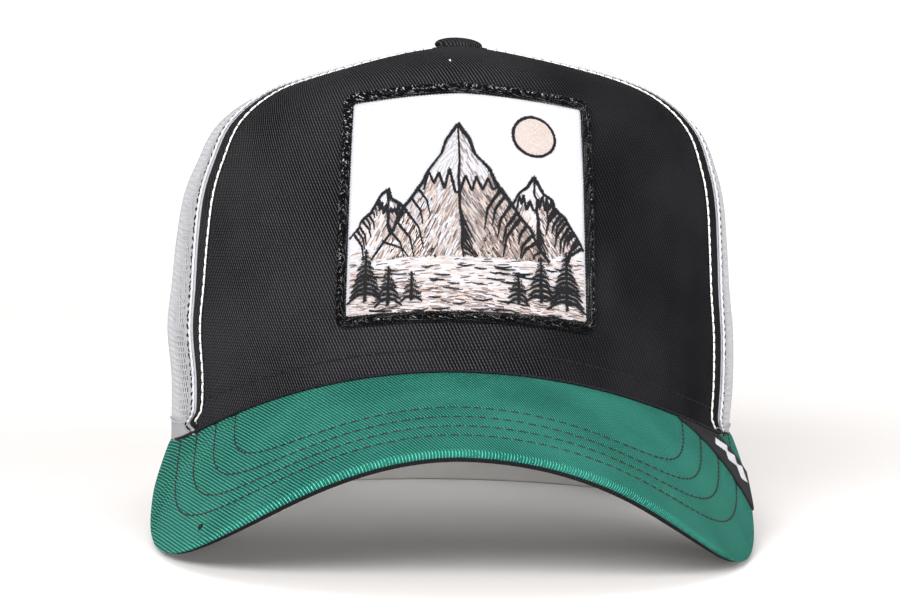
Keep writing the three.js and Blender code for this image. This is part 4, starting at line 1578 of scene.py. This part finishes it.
def mountain(sewn, shape):
    """One mountain: a light and a shaded flank, a snow cap with a ragged edge, black ridges and hatches."""
    summit, left, right = shape["summit"], shape["left"], shape["right"]
    spur = (summit[0] + (left[0] + right[0] - 2 * summit[0]) * 0.18 + 1.5, min(left[1], right[1]))
    snow = shape["snow"]
    height = summit[1] - spur[1]
    drop = height * 0.06
    snow_left = mix_points(summit, left, snow)
    snow_right = mix_points(summit, right, snow * 1.15)
    snow_mid = mix_points(summit, spur, snow * 1.1)
    edge = []
    for start, end in ((snow_left, snow_mid), (snow_mid, snow_right)):
        for k in range(SNOW_TEETH):
            x, y = mix_points(start, end, k / SNOW_TEETH)
            tooth = drop if k % 2 else -drop
            edge.append((x + sewn.jitter(0.3), y + tooth * sewn.random.uniform(0.5, 1.6)))
    edge.append(snow_right)
    middle = edge[SNOW_TEETH]
    lit_edge, shaded_edge = edge[:SNOW_TEETH + 1], edge[SNOW_TEETH:]
    sewn.fill(LIGHT_THREADS, [*lit_edge, spur, left], LIT_ANGLE)
    sewn.fill(SHADE_THREADS, [*shaded_edge, right, spur], SHADED_ANGLE)
    sewn.fill(SNOW_THREADS, [summit, *lit_edge], LIT_ANGLE, lift=0.05)
    sewn.fill(SHADED_SNOW_THREADS, [summit, *shaded_edge], SHADED_ANGLE, lift=0.05)
    sewn.satin("black_thread", edge, [0.5, 0.8, 0.7, 0.5], lift=0.2)
    bold = height / 40
    for start, end, widths in ((left, summit, [0.5, 0.7 * bold, 1.0, 0.5, 1.1]),
                               (summit, right, [1.5, 0.9, 1.4, 0.8, bold])):
        sewn.satin("black_thread", ridge(sewn, start, end, 9, 0.7), widths, lift=0.22)
    sewn.satin("black_thread", ridge(sewn, summit, middle, 4) + ridge(sewn, middle, spur, 5)[1:],
               [0.4, 0.6, 0.9, 0.9, 0.3], lift=0.24)
    for foot, sign, weight, step in ((right, 1, 1.0, 0.055), (left, -1, 0.6, 0.08)):
        for share in np.arange(snow * 1.2, 0.97, step):
            start = mix_points(summit, foot, share + sewn.jitter(0.012))
            reach = height * sewn.random.uniform(0.1, 0.3) * (0.6 + share)
            end = (start[0] - sign * reach * 0.42 + sewn.jitter(0.6), max(start[1] - reach, spur[1] + 0.4))
            bend = mix_points(start, end, 0.5)
            bend = (bend[0] - sign * reach * 0.12, bend[1])
            if end[1] < start[1] - 1.2:
                widths = [0.9 * weight + 0.3, 0.8 * weight, 0.15]
                sewn.satin("black_thread", [start, bend, end], widths, lift=0.2)
    for share in np.arange(0.3, 0.95, 0.07):
        start = mix_points(middle, spur, share)
        reach = height * sewn.random.uniform(0.08, 0.2)
        end = (start[0] + reach * 0.5 + sewn.jitter(0.4), max(start[1] - reach, spur[1] + 0.3))
        sewn.satin("black_thread", [start, end], [0.8, 0.15], lift=0.2)


def pine(sewn, x, foot, height):
    """A pine of satin strokes: a trunk and drooping boughs, longer towards the foot."""
    sewn.satin("black_thread", [(x, foot), (x, foot + height)], [0.9, 0.4], lift=0.3)
    tiers = max(int(height / 1.5), 4)
    for k in range(tiers):
        share = k / (tiers - 1)
        y = foot + height * (0.16 + 0.8 * share)
        reach = height * 0.3 * (1 - share) + 0.5
        for side in (-1, 1):
            tip = (x + side * reach + sewn.jitter(0.25), y - reach * 0.55 + sewn.jitter(0.2))
            middle = (x + side * reach * 0.5, y - reach * 0.12)
            sewn.satin("black_thread", [(x, y), middle, tip], [1.0, 0.9, 0.35], lift=0.32)


def ring(centre, radius, turns):
    return [(centre[0] + radius * math.cos(turn), centre[1] + radius * math.sin(turn)) for turn in turns]


def patch_motif():
    """Embroidered line work of a mountain view."""
    sewn = Embroidery(bpy.context.scene.cap_stitching.embroidery_seed)
    for radius in np.arange(0.5, SUN["radius"], 0.52):
        turns = np.linspace(0, 2 * math.pi, max(int(2 * math.pi * radius / 1.6), 5) + 1) + radius
        circle = ring(SUN["centre"], radius, turns)
        for start, end in zip(circle, circle[1:]):
            sewn.stroke("beige", start, end, 0.5)
    outline = ring(SUN["centre"], SUN["radius"], np.linspace(0, 2 * math.pi, 60))
    sewn.satin("black_thread", outline, [0.7, 0.9, 0.7], lift=0.15)
    sewn.fill(LIGHT_THREADS, GROUND, math.radians(4), pitch=0.5, cover=0.85)
    sewn.fill(SHADE_THREADS, GROUND_SHADE, math.radians(-6), pitch=0.5, cover=0.75, lift=0.06)
    for shape in MOUNTAINS:
        sewn.base = shape["base"]
        mountain(sewn, shape)
    for _ in range(GROUND_STROKES):
        x = sewn.random.uniform(-31, 29)
        y = sewn.random.uniform(-32.5, -18.5)
        reach = sewn.random.uniform(1.5, 5.5)
        stroke = [(x, y), (x + reach * 0.5, y - 0.3), (x + reach, y + sewn.jitter(0.4))]
        sewn.satin("black_thread", stroke, [0.15, 0.5, 0.15], lift=0.2)
    for x, foot, height in PINES:
        pine(sewn, x, foot, height)
    sewn.finish()


# Small marks


def speck():
    """A dark speck on the left of the peak."""
    bm = bmesh.new()
    bmesh.ops.create_icosphere(bm, subdivisions=2, radius=1.0)
    x, y = np.array([SPECK[0]]), np.array([SPECK[1]])
    normal = Vector(peak_normal(x, y)[0])
    turned = normal.to_track_quat("Z", "Y").to_matrix()
    centre = Vector(place(on_peak(x, y, np.array([0.02])))[0])
    for vert in bm.verts:
        bulge = 1 + 0.25 * math.sin(3 * vert.co.x + 5 * vert.co.y)
        vert.co = centre + turned @ Vector((vert.co.x * bulge, vert.co.y * bulge, vert.co.z * 0.8)) * MM
    finished(bm, "peak_speck", "black_thread")


def lint():
    """A light fleck on top of the front panel."""
    angle = FLECK[0] + np.linspace(-FLECK_HALF, FLECK_HALF, 12)
    level = FLECK[1] + np.linspace(FLECK_HALF, -FLECK_HALF, 12)
    stitches("panel_lint", [crown_row(angle, level, 0.1)])


# Stage


def plain_floor():
    """A plain pale floor that grows whiter away from the cap, by a painted glow of emission."""
    bm = bmesh.new()
    bmesh.ops.create_grid(bm, x_segments=1, y_segments=1, size=FLOOR_HALF)
    mesh = bpy.data.meshes.new("floor")
    bm.to_mesh(mesh)
    bm.free()
    floor = linked("floor", mesh)
    paper = Nodes("floor_paper", 0.9)
    where = paper.where()
    paper.colour(paper.mix(paper.noise(where, 8.0), *FLOOR_COLOURS))
    # Painted light: the floor glows by emission, more and more away from the cap
    away = paper.add("VectorMath", {0: where}, output=1, operation="LENGTH")
    paper.shader.inputs["Emission Color"].default_value = (1, 1, 1, 1)
    paper.link(paper.ramp(away, *FLOOR_GLOW), "Emission Strength")
    mesh.materials.append(paper.material)


def backdrop():
    """White to the camera from all sides, and a light wall behind the cap for the rest."""
    world = bpy.data.worlds.new("studio")
    bpy.context.scene.world = world
    world.use_nodes = True
    nodes, links = world.node_tree.nodes, world.node_tree.links
    direction = nodes.new("ShaderNodeTexCoord")
    parts = nodes.new("ShaderNodeSeparateXYZ")
    links.new(direction.outputs["Generated"], parts.inputs[0])
    wall = nodes.new("ShaderNodeMapRange")
    wall.inputs["From Min"].default_value = BACKDROP_FROM
    wall.inputs["From Max"].default_value = BACKDROP_FULL
    wall.inputs["To Min"].default_value = bpy.context.scene.cap_stage.room_light
    wall.inputs["To Max"].default_value = BACKDROP_LIGHT
    links.new(parts.outputs["Y"], wall.inputs["Value"])
    background = nodes["Background"]
    background.inputs["Color"].default_value = (1, 1, 1, 1)
    seen = nodes.new("ShaderNodeLightPath")
    strength = nodes.new("ShaderNodeMath")
    strength.operation = "MAXIMUM"
    links.new(seen.outputs["Is Camera Ray"], strength.inputs[0])
    links.new(wall.outputs["Result"], strength.inputs[1])
    links.new(strength.outputs[0], background.inputs["Strength"])


def lamps():
    """Soft studio lights that point at the cap."""
    for name, location, size, share, target in LIGHTS:
        data = bpy.data.lights.new(name, "AREA")
        data.shape = "RECTANGLE"
        data.size, data.size_y = size
        data.energy = bpy.context.scene.cap_stage.key_light * share
        lamp = linked(name, data)
        lamp.location = location
        lamp.rotation_euler = (Vector(target) - Vector(location)).to_track_quat("-Z", "Y").to_euler()


def photo_camera():
    """The photograph's camera and plain colours."""
    settings = bpy.context.scene.cap_stage
    turn = Matrix.Rotation(settings.side_angle, 3, "Z") @ Matrix.Rotation(-settings.height_angle, 3, "X")
    data = bpy.data.cameras.new("camera")
    data.lens = settings.lens
    data.sensor_width = 36
    data.clip_end = 100
    camera = linked("camera", data)
    camera.location = Vector(CAMERA_TARGET) - settings.distance * (turn @ Vector((0, 1, 0)))
    rolled = turn @ Matrix.Rotation(math.pi / 2, 3, "X") @ Matrix.Rotation(settings.roll, 3, "Z")
    camera.rotation_euler = rolled.to_euler()
    bpy.context.scene.camera = camera
    bpy.context.scene.view_settings.view_transform = "Standard"
    bpy.context.scene.view_settings.look = "None"


# Operators, one for each piece or group of like pieces


class CAP_OT_materials(bpy.types.Operator):
    """Make the cloths, threads and plastic that the pieces use"""

    bl_idname = "cap.materials"
    bl_label = "Prepare Finishes"
    bl_options = {"REGISTER", "UNDO"}

    def execute(self, context):
        make_materials()
        return {"FINISHED"}


class CAP_OT_front_panel(bpy.types.Operator):
    """Make the front panel, its row of stitches over the peak, and the black cord of painted shade along the
    peak's seam
    """

    bl_idname = "cap.front_panel"
    bl_label = "Add Front Panel"
    bl_options = {"REGISTER", "UNDO"}

    def execute(self, context):
        front_panel()
        panel_hem_stitch()
        root_cord()
        return {"FINISHED"}


class CAP_OT_front_seams(bpy.types.Operator):
    """Make the folded edges beside the front seams, with their stitches"""

    bl_idname = "cap.front_seams"
    bl_label = "Add Front Seams"
    bl_options = {"REGISTER", "UNDO"}

    def execute(self, context):
        front_seams()
        return {"FINISHED"}


class CAP_OT_net_panels(bpy.types.Operator):
    """Make the four panels of net, with their hem and welts"""

    bl_idname = "cap.net_panels"
    bl_label = "Add Net Panels"
    bl_options = {"REGISTER", "UNDO"}

    def execute(self, context):
        net_panels()
        net_hem()
        back_seams()
        return {"FINISHED"}


class CAP_OT_opening_binding(bpy.types.Operator):
    """Make the tape round the half-moon opening"""

    bl_idname = "cap.opening_binding"
    bl_label = "Add Opening Binding"
    bl_options = {"REGISTER", "UNDO"}

    def execute(self, context):
        opening_binding()
        return {"FINISHED"}


class CAP_OT_sweatband(bpy.types.Operator):
    """Make the tape inside the rim"""

    bl_idname = "cap.sweatband"
    bl_label = "Add Sweatband"
    bl_options = {"REGISTER", "UNDO"}

    def execute(self, context):
        sweatband()
        return {"FINISHED"}


class CAP_OT_snap_strap(bpy.types.Operator):
    """Make the strap across the opening"""

    bl_idname = "cap.snap_strap"
    bl_label = "Add Snap Strap"
    bl_options = {"REGISTER", "UNDO"}

    def execute(self, context):
        snap_strap()
        return {"FINISHED"}


class CAP_OT_button(bpy.types.Operator):
    """Make the covered button on top"""

    bl_idname = "cap.button"
    bl_label = "Add Button"
    bl_options = {"REGISTER", "UNDO"}

    def execute(self, context):
        button()
        return {"FINISHED"}


class CAP_OT_peak(bpy.types.Operator):
    """Make the peak's two covers and their rows of stitches"""

    bl_idname = "cap.peak"
    bl_label = "Add Peak"
    bl_options = {"REGISTER", "UNDO"}

    def execute(self, context):
        peak()
        return {"FINISHED"}


class CAP_OT_side_label(bpy.types.Operator):
    """Make the strip of tape over the peak's right side"""

    bl_idname = "cap.side_label"
    bl_label = "Add Side Label"
    bl_options = {"REGISTER", "UNDO"}

    def execute(self, context):
        side_label()
        return {"FINISHED"}


class CAP_OT_patch(bpy.types.Operator):
    """Make the patch: its ground, embroidery and border"""

    bl_idname = "cap.patch"
    bl_label = "Add Patch"
    bl_options = {"REGISTER", "UNDO"}

    def execute(self, context):
        patch_field()
        patch_motif()
        patch_border()
        return {"FINISHED"}


class CAP_OT_marks(bpy.types.Operator):
    """Make the speck on the peak and the fleck on the panel"""

    bl_idname = "cap.marks"
    bl_label = "Add Marks"
    bl_options = {"REGISTER", "UNDO"}

    def execute(self, context):
        speck()
        lint()
        return {"FINISHED"}


class CAP_OT_stage(bpy.types.Operator):
    """Make the floor, the backdrop, the lights and the camera"""

    bl_idname = "cap.stage"
    bl_label = "Add Stage"
    bl_options = {"REGISTER", "UNDO"}

    def execute(self, context):
        plain_floor()
        backdrop()
        lamps()
        photo_camera()
        return {"FINISHED"}


OPERATORS = [
    CAP_OT_materials, CAP_OT_front_panel, CAP_OT_front_seams, CAP_OT_net_panels, CAP_OT_opening_binding,
    CAP_OT_sweatband, CAP_OT_snap_strap, CAP_OT_button, CAP_OT_peak, CAP_OT_side_label, CAP_OT_patch,
    CAP_OT_marks, CAP_OT_stage,
]
GROUPS = {
    "cap_colours": CapColours,
    "cap_weave": CapWeave,
    "cap_stitching": CapStitching,
    "cap_stage": CapStage,
}


class CAP_PT_parts(bpy.types.Panel):
    bl_label = "Trucker Cap"
    bl_idname = "CAP_PT_parts"
    bl_space_type = "VIEW_3D"
    bl_region_type = "UI"
    bl_category = "Cap"

    def draw(self, context):
        layout = self.layout
        for group in GROUPS:
            settings = getattr(context.scene, group)
            box = layout.box()
            for name in settings.__annotations__:
                box.prop(settings, name)
        for made in OPERATORS:
            layout.operator(made.bl_idname)


def register():
    for kind in (*GROUPS.values(), *OPERATORS, CAP_PT_parts):
        bpy.utils.register_class(kind)
    for name, group in GROUPS.items():
        setattr(bpy.types.Scene, name, PointerProperty(type=group))


def unregister():
    for name in GROUPS:
        delattr(bpy.types.Scene, name)
    for kind in reversed((*GROUPS.values(), *OPERATORS, CAP_PT_parts)):
        bpy.utils.unregister_class(kind)


def main():
    register()
    for made in OPERATORS:
        group, name = made.bl_idname.split(".")
        getattr(getattr(bpy.ops, group), name)()


if __name__ == "__main__":
    main()
